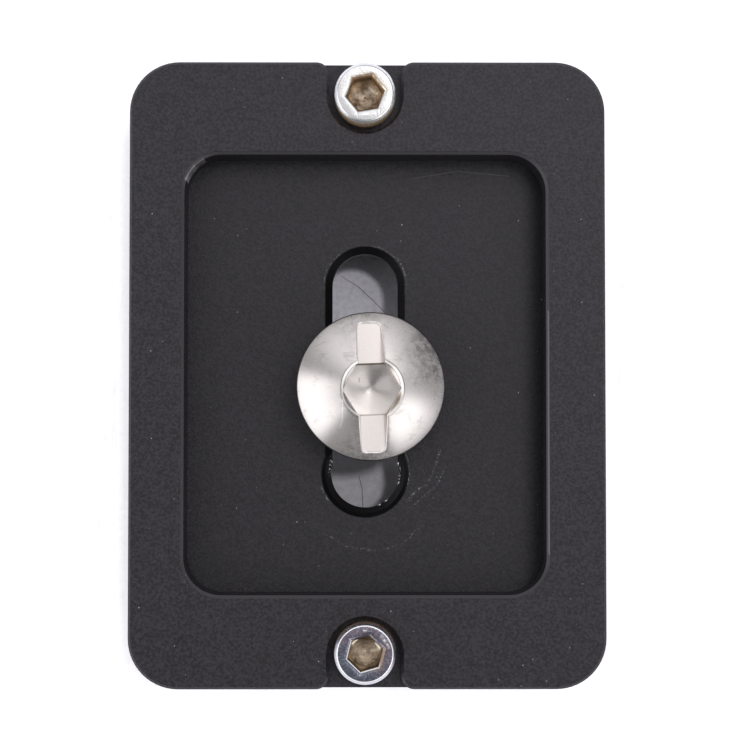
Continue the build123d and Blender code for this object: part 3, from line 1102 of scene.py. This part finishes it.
    def lip_masks(self, writer: NodeWriter, spot: ScrewSpot) -> tuple[Socket, Socket]:
        """The gilded stretches of the socket's mouth, and the thin ones that carry painted highlights."""
        mouth = writer.product(
            writer.step(spot.past_hex, -0.04 * MM, 0.0),
            writer.step(spot.past_hex, self.lip_width + 0.05 * MM, self.lip_width - 0.02 * MM),
            writer.step(spot.depth, 0.35 * MM, 0.25 * MM),
        )
        uneven = writer.step(writer.noise(spot.place, self.lip_scale, detail=4.0, roughness=0.7), 0.28, 0.56)
        gilt = writer.product(mouth, uneven, spot.on_sides(writer, *self.look.gilt_lips))
        # Painted highlights on the socket's mouth, on the listed sides.
        thin = writer.product(
            writer.step(spot.past_hex, self.bright_from - 0.03 * MM, self.bright_from + 0.02 * MM),
            writer.step(spot.past_hex, self.bright_to + 0.04 * MM, self.bright_to - 0.03 * MM),
        )
        return gilt, writer.product(mouth, thin, spot.on_sides(writer, *self.look.lip_highlight_sides))

    def socket(self, writer: NodeWriter, spot: ScrewSpot, tarnish: Socket, outside: Socket) -> Socket:
        """Add the socket's tarnished wall and its floor, dappled and ringed by the drill, with painted
        highlights on the floor.

        Args:
            writer: Writes into the material's tree.
            spot: The place on the screw.
            tarnish: The share of tarnish there.
            outside: The colour outside the socket.

        Returns:
            The colour with the socket's stains.
        """
        patches = writer.noise(spot.place, self.dapple_scale, detail=5.0, roughness=0.62)
        dapple = writer.step(patches, 0.36, 0.62)
        wall = writer.mix(dapple, dimmed(self.look.socket_wall, 0.5), self.look.socket_wall)
        walled = writer.mix(writer.step(tarnish, 0.0, 0.45), outside, wall)
        across = writer.join(spot.radius, 0.0, 0.0)
        turned = writer.noise(across, 1.0 / self.ring_pitch, detail=3.0, roughness=0.8)
        rings = writer.step(turned, 0.36, 0.64)
        dappled = writer.product(dapple, 1.0 - self.look.turning)
        pattern = writer.math("MULTIPLY_ADD", rings, self.look.turning, dappled)
        floor = writer.mix(pattern, self.look.socket_dark, self.look.socket_floor)
        middle = writer.step(spot.radius, 0.13 * MM, 0.05 * MM)
        dotted = writer.mix(middle, floor, self.look.socket_centre)
        floored = writer.mix(writer.step(tarnish, 0.55, 0.95), walled, dotted)
        # Painted highlights deep in the socket.
        deep = writer.step(spot.depth, 0.5 * MM, 0.8 * MM)
        glints = writer.product(marked(writer, spot.place, self.look.glints), deep)
        return writer.mix(glints, floored, self.glint)


@dataclass(frozen=True)
class GripRubber(Finish):
    """Matte black rubber with a fine moulded grain and some dust."""

    colour: Colour = (0.018, 0.018, 0.019)
    worn: Colour = (0.034, 0.033, 0.033)
    dust: Colour = (0.3, 0.29, 0.28)
    dustiness: float = 0.5
    roughness: float = 0.735
    unevenness: float = 0.115
    specular: float = 0.35
    grain_scale: float = 3200.0
    grain_depth: float = 0.05 * MM
    speck_scale: float = 420.0
    speck_size: float = 0.05

    def material(self) -> bpy.types.Material:
        """The rubber."""
        material, writer, shader = self.start("grip_rubber")
        place = writer.object_place()
        grain = FineGrain.on(writer, place, Scale=self.grain_scale)
        specks = DustSpecks.on(writer, place, Scale=self.speck_scale, Size=self.speck_size)
        ground = writer.mix(writer.step(grain, 0.35, 0.7), self.colour, self.worn)
        dusty = writer.mix(writer.product(specks, self.dustiness), ground, self.dust)
        writer.feed(shader.inputs["Base Color"], dusty)
        writer.feed(shader.inputs["Roughness"], writer.around(grain, self.roughness, self.unevenness))
        writer.feed(shader.inputs["Normal"], writer.bump(grain, self.grain_depth))
        shader.inputs["Specular IOR Level"].default_value = self.specular
        return material


@dataclass(frozen=True)
class PaleFloor(Finish):
    """Pale table, lifted to white around the plate where the camera or a reflection sees it."""

    plate_size: tuple[float, float]
    plate_corner: float
    colour: Colour = (0.6, 0.585, 0.645)
    hair: Colour = (0.09, 0.085, 0.1)
    # Painted shade with blotches: the table under the keyhole is darker.
    blotch_shade: Colour = (0.43, 0.413, 0.45)
    blotch_shade_middle: tuple[float, float, float] = (0.0, -10.5 * MM, 0.0)
    blotch_shade_reach: tuple[float, float] = (4.0 * MM, 3.5 * MM)
    blotch_shade_fade: float = 1.0 * MM
    roughness: float = 0.9
    specular: float = 0.1
    lift: float = 0.55
    lift_fade: float = 0.6 * MM
    grain_scale: float = 2400.0
    scratch_scale: float = 1500.0
    scratch_width: float = 0.05
    scratch_depth: float = 0.3
    blotch_scale: float = 1300.0
    hairs: tuple[HairMark, ...] = (
        HairMark((-2.25, 8.73), (-1.61, 8.31), width=0.06, strength=0.55),
        HairMark((-1.61, 8.31), (-0.76, 7.8), width=0.07, strength=0.7),
        HairMark((-0.76, 7.8), (0.52, 6.6), width=0.08, strength=0.8),
        HairMark((0.52, 6.6), (1.5, 5.6), width=0.07, strength=0.75),
        HairMark((-0.68, -8.37), (-0.44, -9.36), width=0.07, strength=0.8),
        HairMark((-0.44, -9.36), (-0.36, -11.2), width=0.07, strength=0.85),
    )

    def material(self) -> bpy.types.Material:
        """The floor's material."""
        material, writer, shader = self.start("pale_floor")
        place = writer.object_place()
        # Painted shade, blotched, under the keyhole.
        darkened = writer.mix(self.blotch_shade_mask(writer, place), self.table(writer, place), self.blotch_shade)
        haired = writer.mix(marked(writer, place, self.hairs), darkened, self.hair)
        writer.feed(shader.inputs["Base Color"], haired)
        shader.inputs["Roughness"].default_value = self.roughness
        shader.inputs["Specular IOR Level"].default_value = self.specular
        path = writer.add("ShaderNodeLightPath").outputs
        seen = writer.largest(path["Is Camera Ray"], path["Is Glossy Ray"], path["Is Transmission Ray"])
        shader.inputs["Emission Color"].default_value = (1.0, 1.0, 1.0, 1.0)
        around = writer.product(seen, self.around_plate(writer, place), self.lift)
        writer.feed(shader.inputs["Emission Strength"], around)
        return material

    def table(self, writer: NodeWriter, place: Socket) -> Socket:
        """The table's colour, with its grain and its scratches."""
        grain = FineGrain.on(writer, place, Scale=self.grain_scale)
        scratches = FineScratches.on(writer, place, Scale=self.scratch_scale, Width=self.scratch_width)
        worn = writer.math("MULTIPLY_ADD", scratches, -self.scratch_depth, grain)
        return writer.mix(writer.step(worn, 0.1, 0.7), dimmed(self.colour, 0.74), self.colour)

    def blotch_shade_mask(self, writer: NodeWriter, place: Socket) -> Socket:
        """The blotched patch under the keyhole: a blotchier table, with painted shade."""
        blotches = writer.noise(place, self.blotch_scale, detail=5.0, roughness=0.7)
        under_keyhole = writer.vector_math("SUBTRACT", place, self.blotch_shade_middle)
        patch = writer.within(under_keyhole, self.blotch_shade_reach, self.blotch_shade_fade)
        return writer.product(patch, writer.step(blotches, 0.34, 0.62, 0.45, 1.0))

    def around_plate(self, writer: NodeWriter, place: Socket) -> Socket:
        """A mask that is 0 under the plate and 1 around it."""
        inner = tuple(side / 2 - self.plate_corner for side in self.plate_size)
        out = writer.vector_math("SUBTRACT", writer.vector_math("ABSOLUTE", place), (*inner, 0.0))
        past = writer.vector_math("MAXIMUM", out, (0.0, 0.0, 0.0))
        return writer.step(writer.length(past), self.plate_corner - self.lift_fade, self.plate_corner)


def make_piece(name: str, mesh: bmesh.types.BMesh) -> bpy.types.Object:
    """Make an object of a finished bmesh.

    Args:
        name: The piece's name.
        mesh: The bmesh, which is freed.

    Returns:
        The new object, at the origin.
    """
    data = bpy.data.meshes.new(name)
    mesh.to_mesh(data)
    mesh.free()
    piece = bpy.data.objects.new(name, data)
    bpy.context.scene.collection.objects.link(piece)
    return piece


def shade_smooth(piece: bpy.types.Object) -> None:
    """Shade a piece smooth, with its sharp edges kept."""
    for polygon in piece.data.polygons:
        polygon.use_smooth = True
    piece.data.set_sharp_from_angle(angle=SHARP_ANGLE)


def bake_modifiers(piece: bpy.types.Object) -> None:
    """Replace a piece's mesh by what its modifiers make of it, and take them off."""
    graph = bpy.context.evaluated_depsgraph_get()
    data = bpy.data.meshes.new_from_object(piece.evaluated_get(graph), depsgraph=graph)
    piece.modifiers.clear()
    piece.data = data


def helix(profile: list[tuple[float, float]], turns: float, steps_a_turn: int) -> bmesh.types.BMesh:
    """Wind a closed profile about the Z axis, as a right-hand thread.

    Args:
        profile: The section's corners, as radius and height.
        turns: How many turns there are.
        steps_a_turn: How many steps make one turn.

    Returns:
        A closed mesh, which starts on the X axis.
    """
    mesh = bmesh.new()
    corners = [mesh.verts.new((radius, 0.0, height)) for radius, height in profile]
    edges = [mesh.edges.new((corners[i - 1], corners[i])) for i in range(len(corners))]
    bmesh.ops.spin(
        mesh,
        geom=corners + edges,
        cent=(0.0, 0.0, 0.0),
        axis=(0.0, 0.0, 1.0),
        dvec=(0.0, 0.0, THREAD_PITCH / steps_a_turn),
        angle=math.tau * turns,
        steps=round(turns * steps_a_turn),
        use_merge=False,
    )
    ends = [edge for edge in mesh.edges if edge.is_boundary]
    bmesh.ops.holes_fill(mesh, edges=ends, sides=len(profile))
    bmesh.ops.remove_doubles(mesh, verts=mesh.verts, dist=MERGE_DISTANCE)
    bmesh.ops.recalc_face_normals(mesh, faces=mesh.faces)
    return mesh


@dataclass
class CameraScrew:
    """The captive camera screw: its head as the solid has it, and its thread cut here."""

    thread_depth: float = 0.76 * MM
    root_flat: float = 0.16
    spare_turns: float = 2.0
    cutter_overlap: float = 0.1 * MM
    tip_chamfer: float = 0.6 * MM
    head_turn: float = math.radians(2.3)
    steps_a_turn: int = 40

    def __post_init__(self) -> None:
        """Read the thread's axis and size from the frame's mount."""
        mount = next(m for m in frame["record"]["mounts"] if m["name"] == "camera_thread")
        self.radius = mount["dims"]["r_mm"] * MM
        self.length = mount["dims"]["length_mm"] * MM
        up = -Vector(mount["axis"]).normalized()
        self.foot = Vector(mount["pos_m"]) - up * (self.length / 2 + self.tip_chamfer)
        self.turn = Vector((0.0, 0.0, 1.0)).rotation_difference(up).to_matrix()

    def placed(self) -> Matrix:
        """Where the upright screw, tip at the origin, comes to lie in the frame."""
        return Matrix.Translation(self.foot) @ self.turn.to_4x4()

    def thread_cutter(self) -> bpy.types.Object:
        """The V-shaped groove of the thread, as a solid to cut with."""
        outside = self.radius + self.cutter_overlap
        root = self.radius - self.thread_depth
        half = (outside - root) * math.tan(FLANK_ANGLE)
        flat = half * self.root_flat
        section = [(root, -flat), (outside, -half - flat), (outside, half + flat), (root, flat)]
        turns = (self.length + self.tip_chamfer) / THREAD_PITCH + self.spare_turns
        mesh = helix(section, turns, self.steps_a_turn)
        start = Matrix.Translation((0.0, 0.0, -THREAD_PITCH))
        bmesh.ops.transform(mesh, matrix=self.placed() @ start, verts=mesh.verts)
        return make_piece("thread_cutter", mesh)

    def build(self) -> bpy.types.Object:
        """Cut the thread into a merged copy of the solid.

        Returns:
            The finished screw, which rides on its body and stands for the solid.
        """
        mesh = bmesh.new()
        mesh.from_mesh(frame["nodes"]["camera_screw"].data)
        bmesh.ops.remove_doubles(mesh, verts=mesh.verts, dist=MERGE_DISTANCE)
        piece = make_piece("camera_screw_threaded", mesh)
        clear_custom_normals(piece)
        cutter = self.thread_cutter()
        cut = piece.modifiers.new("thread", "BOOLEAN")
        cut.operation = "DIFFERENCE"
        cut.solver = "EXACT"
        cut.object = cutter
        bake_modifiers(piece)
        bpy.data.objects.remove(cutter)
        shade_smooth(piece)
        weights = piece.modifiers.new("weights", "WEIGHTED_NORMAL")
        weights.keep_sharp = True
        bake_modifiers(piece)
        turned = (self.turn @ Matrix.Rotation(self.head_turn, 3, "Z")).to_euler()
        SatinStainless(axis_foot=self.foot, axis_turn=turned).dress(piece)
        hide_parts("camera_screw")
        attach(piece, Body.SCREW.value)
        return piece


def clear_custom_normals(piece: bpy.types.Object) -> None:
    """Drop the normals that a merged copy took over from the loose triangles."""
    known = piece.data.attributes.get("custom_normal")
    if known:
        piece.data.attributes.remove(known)


@dataclass
class PlateBody:
    """The anodised plate, with the thread of its keyhole."""

    bore_radius: float = 3.225 * MM
    crest_radius: float = 2.76 * MM
    crest_flat: float = 0.09 * MM
    slot_half_width: float = 2.675 * MM
    ledge_foot: float = 5.1 * MM
    countersink_foot: float = 6.54 * MM
    root_sink: float = 0.04 * MM
    turns: float = 3.0
    steps_a_turn: int = 64

    def thread_mesh(self) -> bmesh.types.BMesh:
        """The ridges of the keyhole's thread, as far as the slot leaves them standing."""
        middle_x, middle_y = (side * MM for side in KEYHOLE)
        root = self.bore_radius + self.root_sink
        crest = self.crest_radius
        flat = self.crest_flat
        half = (root - crest) * math.tan(FLANK_ANGLE)
        section = [(root, -half - flat), (root, half + flat), (crest, flat), (crest, -flat)]
        mesh = helix(section, self.turns, self.steps_a_turn)
        place = Matrix.Translation((middle_x, middle_y, self.ledge_foot - THREAD_PITCH))
        bmesh.ops.transform(mesh, matrix=place, verts=mesh.verts)
        for height, side in ((self.ledge_foot, -1.0), (self.countersink_foot, 1.0)):
            self.cut_off(mesh, (0.0, 0.0, height), (0.0, 0.0, side))
        mouth = middle_y + math.sqrt(self.bore_radius**2 - self.slot_half_width**2)
        self.cut_off(mesh, (0.0, mouth, 0.0), (0.0, 1.0, 0.0))
        for vertex in mesh.verts:
            aside = vertex.co.x - middle_x
            if vertex.co.y > middle_y and abs(aside) < self.slot_half_width:
                vertex.co.x = middle_x + math.copysign(self.slot_half_width, aside)
        bmesh.ops.recalc_face_normals(mesh, faces=mesh.faces)
        return mesh

    @staticmethod
    def cut_off(mesh: bmesh.types.BMesh, point: tuple[float, ...], outwards: tuple[float, ...]) -> None:
        """Cut off what lies outside a plane, and close the cut."""
        geometry = [*mesh.verts, *mesh.edges, *mesh.faces]
        bmesh.ops.bisect_plane(mesh, geom=geometry, plane_co=point, plane_no=outwards, clear_outer=True)
        rims = [edge for edge in mesh.edges if edge.is_boundary]
        bmesh.ops.holes_fill(mesh, edges=rims)

    def build(self) -> bpy.types.Object:
        """Dress the plate and add its keyhole thread.

        Returns:
            The thread's piece.
        """
        plate = frame["nodes"]["plate_body"]
        BlackAnodised().dress(plate)
        thread = make_piece("keyhole_thread", self.thread_mesh())
        shade_smooth(thread)
        thread.data.materials.append(plate.data.materials[0])
        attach(thread, Body.PLATE.value)
        return thread


@dataclass
class SafetyScrew:
    """One of the two socket screws that stop the plate at its ends."""

    end: End
    look: NickelLook
    hex_turn: float
    edge_round: float = 0.09 * MM
    edge_segments: int = 4
    rim_height: float = 0.4 * MM
    mouth_inner: float = 1.4 * MM
    bevel_inner: float = 2.1 * MM
    least_fold: float = math.radians(20.0)

    def build(self) -> bpy.types.Object:
        """Round the edges of the head on a merged copy of the solid, and dress it.

        Returns:
            The finished screw, which stands for the solid.
        """
        node = f"safety_screw_{self.end.name.lower()}"
        lowest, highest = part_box(node)
        middle = (lowest + highest) / 2
        centre = Vector((middle.x, middle.y, 0.0))
        mesh = bmesh.new()
        mesh.from_mesh(frame["nodes"][node].data)
        bmesh.ops.remove_doubles(mesh, verts=mesh.verts, dist=MERGE_DISTANCE)
        bmesh.ops.dissolve_limit(mesh, angle_limit=FLAT_ANGLE, verts=mesh.verts, edges=mesh.edges)
        rims = [edge for edge in mesh.edges if self.on_rim(edge, centre, highest.z)]
        bmesh.ops.bevel(
            mesh,
            geom=rims,
            offset=self.edge_round,
            affect="EDGES",
            segments=self.edge_segments,
            profile=0.5,
            material=-1,
        )
        piece = make_piece(f"{node}_rounded", mesh)
        clear_custom_normals(piece)
        shade_smooth(piece)
        finish = NickelPlate(
            name=f"nickel_plate_{self.end.name.lower()}",
            look=self.look,
            centre=centre,
            top=highest.z,
            hex_turn=self.hex_turn,
        )
        finish.dress(piece)
        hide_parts(node)
        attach(piece, Body.PLATE.value)
        return piece

    def on_rim(self, edge: bmesh.types.BMEdge, centre: Vector, top: float) -> bool:
        """True for the level edges of the head's bevel and for the outer edges of the socket's mouth."""
        first, second = (vertex.co - centre for vertex in edge.verts)
        level = abs(first.z - second.z) < MERGE_DISTANCE and first.z > top - self.rim_height
        if not level or len(edge.link_faces) != 2 or edge.calc_face_angle() < self.least_fold:
            return False
        around = min(first.xy.length, second.xy.length) > self.mouth_inner
        return around and (first.z > top - MERGE_DISTANCE or first.xy.length > self.bevel_inner)


FRONT_HEX_TURN = math.radians(9.5)
REAR_HEX_TURN = math.radians(16.0)

FRONT_LOOK = NickelLook(
    face=(0.9, 0.885, 0.88),
    film=(0.72, 0.71, 0.735),
    film_cover=0.46,
    film_side=Sector(235, 90),
    streaks=(0.6, 0.59, 0.63),
    streaking=0.3,
    scoring=0.7,
    halo=(0.85, 0.7, 0.5),
    halo_side=Sector(55, 75, 0.55),
    scuffs=(
        HairMark((-1.75, -0.2), (-0.7, -1.55), width=0.14, strength=0.7),
        HairMark((-0.4, -1.75), (0.7, -1.65), width=0.12, strength=0.5),
    ),
    # Painted shade: the dark line round the face.
    rim_line=(0.2, 0.2, 0.24),
    rim_where=(Sector(45, 70, 0.7), Sector(150, 30, 0.3)),
    # Painted reflection on the bevel's upper side.
    bevel=(0.74, 0.75, 0.82),
    bevel_light_sides=(Sector(110, 120, 0.8),),
    # Painted highlights on the socket's mouth.
    lip_highlight_sides=(Sector(225, 110),),
    gilt_lips=(Sector(85, 80, 0.95),),
    side_stain=(0.5, 0.33, 0.17),
    stained_side=Sector(270, 95, 0.9),
    stain_past=0.1 * MM,
    socket_wall=(0.36, 0.235, 0.135),
    socket_floor=(0.68, 0.56, 0.44),
    socket_dark=(0.2, 0.125, 0.07),
    socket_centre=(0.12, 0.07, 0.03),
    # Painted highlights in the socket.
    glints=(
        HairMark((0.35, 0.75), (0.9, 0.25), width=0.16, strength=0.5),
        HairMark((-0.55, -0.85), (-0.2, -1.0), width=0.24, strength=0.5),
    ),
    turning=0.06,
)

REAR_LOOK = NickelLook(
    face=(0.25, 0.205, 0.255),
    film=(0.13, 0.15, 0.2),
    film_cover=0.6,
    film_side=Sector(230, 90),
    streaks=(0.62, 0.58, 0.66),
    streaking=0.6,
    scoring=0.3,
    halo=(0.3, 0.2, 0.14),
    halo_side=Sector(340, 60, 0.4),
    scuffs=(
        HairMark((1.3, 1.4), (1.85, 0.55), width=0.2, strength=1.0),
        HairMark((-0.1, 1.85), (0.5, 1.8), width=0.1, strength=0.9),
    ),
    # Painted highlight: the white line round the face.
    rim_line=(0.97, 0.965, 0.98),
    rim_where=(Sector(90, 180), Sector(270, 180)),
    # Painted highlight on the bevel's lower side.
    bevel=(0.74, 0.73, 0.82),
    bevel_light_sides=(Sector(250, 120, 0.85),),
    # Painted highlights on the socket's mouth.
    lip_highlight_sides=(Sector(166, 44), Sector(226, 44), Sector(286, 44), Sector(46, 40, 0.4)),
    gilt_lips=(Sector(346, 40, 0.5),),
    side_stain=(0.3, 0.2, 0.11),
    stained_side=Sector(90, 110, 0.9),
    stain_past=0.02 * MM,
    socket_wall=(0.2, 0.135, 0.08),
    socket_floor=(0.68, 0.55, 0.42),
    socket_dark=(0.2, 0.14, 0.09),
    socket_centre=(0.85, 0.8, 0.72),
    # Painted highlights in the socket.
    glints=(
        HairMark((-1.0, 0.65), (-0.65, 0.98), width=0.14, strength=0.8),
        HairMark((0.8, 0.68), (1.18, 0.3), width=0.16, strength=0.95),
        HairMark((0.5, 0.05), (1.05, 0.2), width=0.22, strength=0.45),
    ),
    turning=0.5,
)


@dataclass
class GripStrips:
    """The two rubber strips under the plate."""

    nodes: tuple[str, ...] = ("grip_strip_left", "grip_strip_right")

    def build(self) -> list[bpy.types.Object]:
        """Dress both strips.

        Returns:
            The strips' nodes.
        """
        strips = [frame["nodes"][name] for name in self.nodes]
        rubber = GripRubber().material()
        for strip in strips:
            strip.data.materials.clear()
            strip.data.materials.append(rubber)
        return strips


@dataclass(frozen=True)
class SoftPanel:
    """A soft panel in the studio's sky, in degrees, with azimuth 0 along +X; below 0 it darkens the sky."""

    azimuth: float
    elevation: float
    half_width: float
    half_height: float
    softness: float
    strength: float

    def write(self, writer: NodeWriter, looked: Socket) -> Socket:
        """Write the panel into the world.

        Args:
            writer: Writes into the world's tree.
            looked: The direction that is looked at.

        Returns:
            The panel's light in that direction.
        """
        x, y, z = writer.split(looked)
        turn = writer.math("SUBTRACT", writer.math("ARCTAN2", y, x), math.radians(self.azimuth))
        aside = writer.math("ABSOLUTE", writer.math("WRAP", turn, math.pi, -math.pi))
        height = writer.math("SUBTRACT", writer.math("ARCSINE", z), math.radians(self.elevation))
        rise = writer.math("ABSOLUTE", height)
        wide = self.inside(writer, aside, self.half_width)
        return writer.product(wide, self.inside(writer, rise, self.half_height), self.strength)

    def inside(self, writer: NodeWriter, away: Socket, reach: float) -> Socket:
        """A mask that falls from 1 to 0 where an angle passes the panel's edge."""
        return writer.step(away, math.radians(reach + self.softness), math.radians(reach - self.softness))


@dataclass(frozen=True)
class SoftDisc:
    """A soft round light in the studio's sky, in degrees; below 0 it darkens the sky."""

    azimuth: float
    elevation: float
    radius: float
    softness: float
    strength: float

    def write(self, writer: NodeWriter, looked: Socket) -> Socket:
        """Write the disc into the world, as a panel is written."""
        away = writer.math("ARCCOSINE", writer.dot(looked, direction(self.azimuth, self.elevation)))
        edge = math.radians(self.radius + self.softness), math.radians(self.radius - self.softness)
        return writer.product(writer.step(away, *edge), self.strength)


@dataclass
class Studio:
    """The floor, the soft light and the camera above the plate."""

    sky_low: float = 0.15
    sky_high: float = 0.44
    sky_full_elevation: float = 40.0
    lights: tuple[SoftPanel | SoftDisc, ...] = (
        SoftPanel(azimuth=197, elevation=24, half_width=31, half_height=32, softness=9, strength=1.36),
        SoftPanel(azimuth=321, elevation=34, half_width=26, half_height=19, softness=14, strength=1.6),
        SoftPanel(azimuth=98, elevation=47, half_width=44, half_height=37, softness=20, strength=0.6),
        SoftPanel(azimuth=22, elevation=50, half_width=45, half_height=22, softness=14, strength=0.19),
        SoftDisc(azimuth=0, elevation=90, radius=40, softness=8, strength=0.045),
        SoftDisc(azimuth=38, elevation=68, radius=13, softness=8, strength=1.6),
        SoftDisc(azimuth=262, elevation=63, radius=12, softness=7, strength=-0.46),
    )
    key_azimuth: float = 34.0
    key_elevation: float = 77.5
    key_angle: float = 5.0
    key_strength: float = 1.05
    plate_corner: float = 4.0 * MM
    floor_size: float = 4.0
    floor_drop: float = 0.00001
    camera_place: tuple[float, float, float] = (-0.2115, -5.156, 160.4)
    camera_aim: tuple[float, float, float] = (0.61, -0.08, 10.4)
    lens: float = 90.5
    clip_start: float = 0.01

    def build(self) -> None:
        """Set up the whole studio."""
        clear_start_objects()
        self.build_floor()
        self.build_world()
        self.build_key()
        self.build_camera()
        bpy.context.scene.view_settings.view_transform = "Standard"

    def build_floor(self) -> None:
        """Lay the floor that the strips stand on."""
        mesh = bmesh.new()
        bmesh.ops.create_grid(mesh, x_segments=1, y_segments=1, size=self.floor_size / 2)
        bmesh.ops.translate(mesh, verts=mesh.verts, vec=(0.0, 0.0, -self.floor_drop))
        floor = make_piece("floor", mesh)
        lowest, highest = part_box("plate_body")
        size = highest - lowest
        PaleFloor(plate_size=(size.x, size.y), plate_corner=self.plate_corner).dress(floor)

    def build_world(self) -> None:
        """Write the sky: brighter overhead, with soft panels and discs."""
        world = bpy.data.worlds.new("studio_sky")
        bpy.context.scene.world = world
        world.use_nodes = True
        writer = NodeWriter(world.node_tree)
        looked = writer.add("ShaderNodeTexCoord").outputs["Generated"]
        _, _, z = writer.split(looked)
        full = math.radians(self.sky_full_elevation)
        strength = writer.step(writer.math("ARCSINE", z), 0.0, full, self.sky_low, self.sky_high)
        for light in self.lights:
            strength = writer.math("ADD", strength, light.write(writer, looked))
        background = world.node_tree.nodes["Background"]
        writer.feed(background.inputs["Strength"], writer.math("MAXIMUM", strength, 0.0))
        background.inputs["Color"].default_value = (1.0, 1.0, 1.0, 1.0)

    def build_key(self) -> None:
        """Hang the key light, whose reflection is left to the sky's discs."""
        key = bpy.data.lights.new("key", "SUN")
        key.energy = self.key_strength
        key.angle = math.radians(self.key_angle)
        lamp = bpy.data.objects.new("key", key)
        bpy.context.scene.collection.objects.link(lamp)
        lamp.visible_glossy = False
        lamp.rotation_mode = "QUATERNION"
        lamp.rotation_quaternion = direction(self.key_azimuth, self.key_elevation).to_track_quat("Z", "Y")

    def build_camera(self) -> None:
        """Place the camera above the plate, as the photograph looks down on it."""
        data = bpy.data.cameras.new("camera")
        data.lens = self.lens
        data.clip_start = self.clip_start
        camera = bpy.data.objects.new("camera", data)
        bpy.context.scene.collection.objects.link(camera)
        camera.location = Vector(self.camera_place) * MM
        back = (Vector(self.camera_place) - Vector(self.camera_aim)).normalized()
        right = Vector((0.0, 1.0, 0.0)).cross(back).normalized()
        camera.rotation_mode = "QUATERNION"
        camera.rotation_quaternion = Matrix((right, back.cross(right), back)).transposed().to_quaternion()
        bpy.context.scene.camera = camera


def clear_start_objects() -> None:
    """Remove the cube, lamp and camera that a new file starts with."""
    for name in ("Cube", "Light", "Camera"):
        known = bpy.data.objects.get(name)
        if known:
            bpy.data.objects.remove(known)


def main() -> None:
    """Build each sub-assembly in order, then the studio around it."""
    logging.basicConfig(level=logging.INFO, format="%(message)s")
    LOG.info("plate: %s", PlateBody().build().name)
    LOG.info("screw: %s", CameraScrew().build().name)
    front = SafetyScrew(end=End.FRONT, look=FRONT_LOOK, hex_turn=FRONT_HEX_TURN)
    rear = SafetyScrew(end=End.REAR, look=REAR_LOOK, hex_turn=REAR_HEX_TURN)
    for screw in (front, rear):
        LOG.info("safety screw: %s", screw.build().name)
    for strip in GripStrips().build():
        LOG.info("grip strip: %s", strip.name)
    Studio().build()


if __name__ == "__main__":
    main()
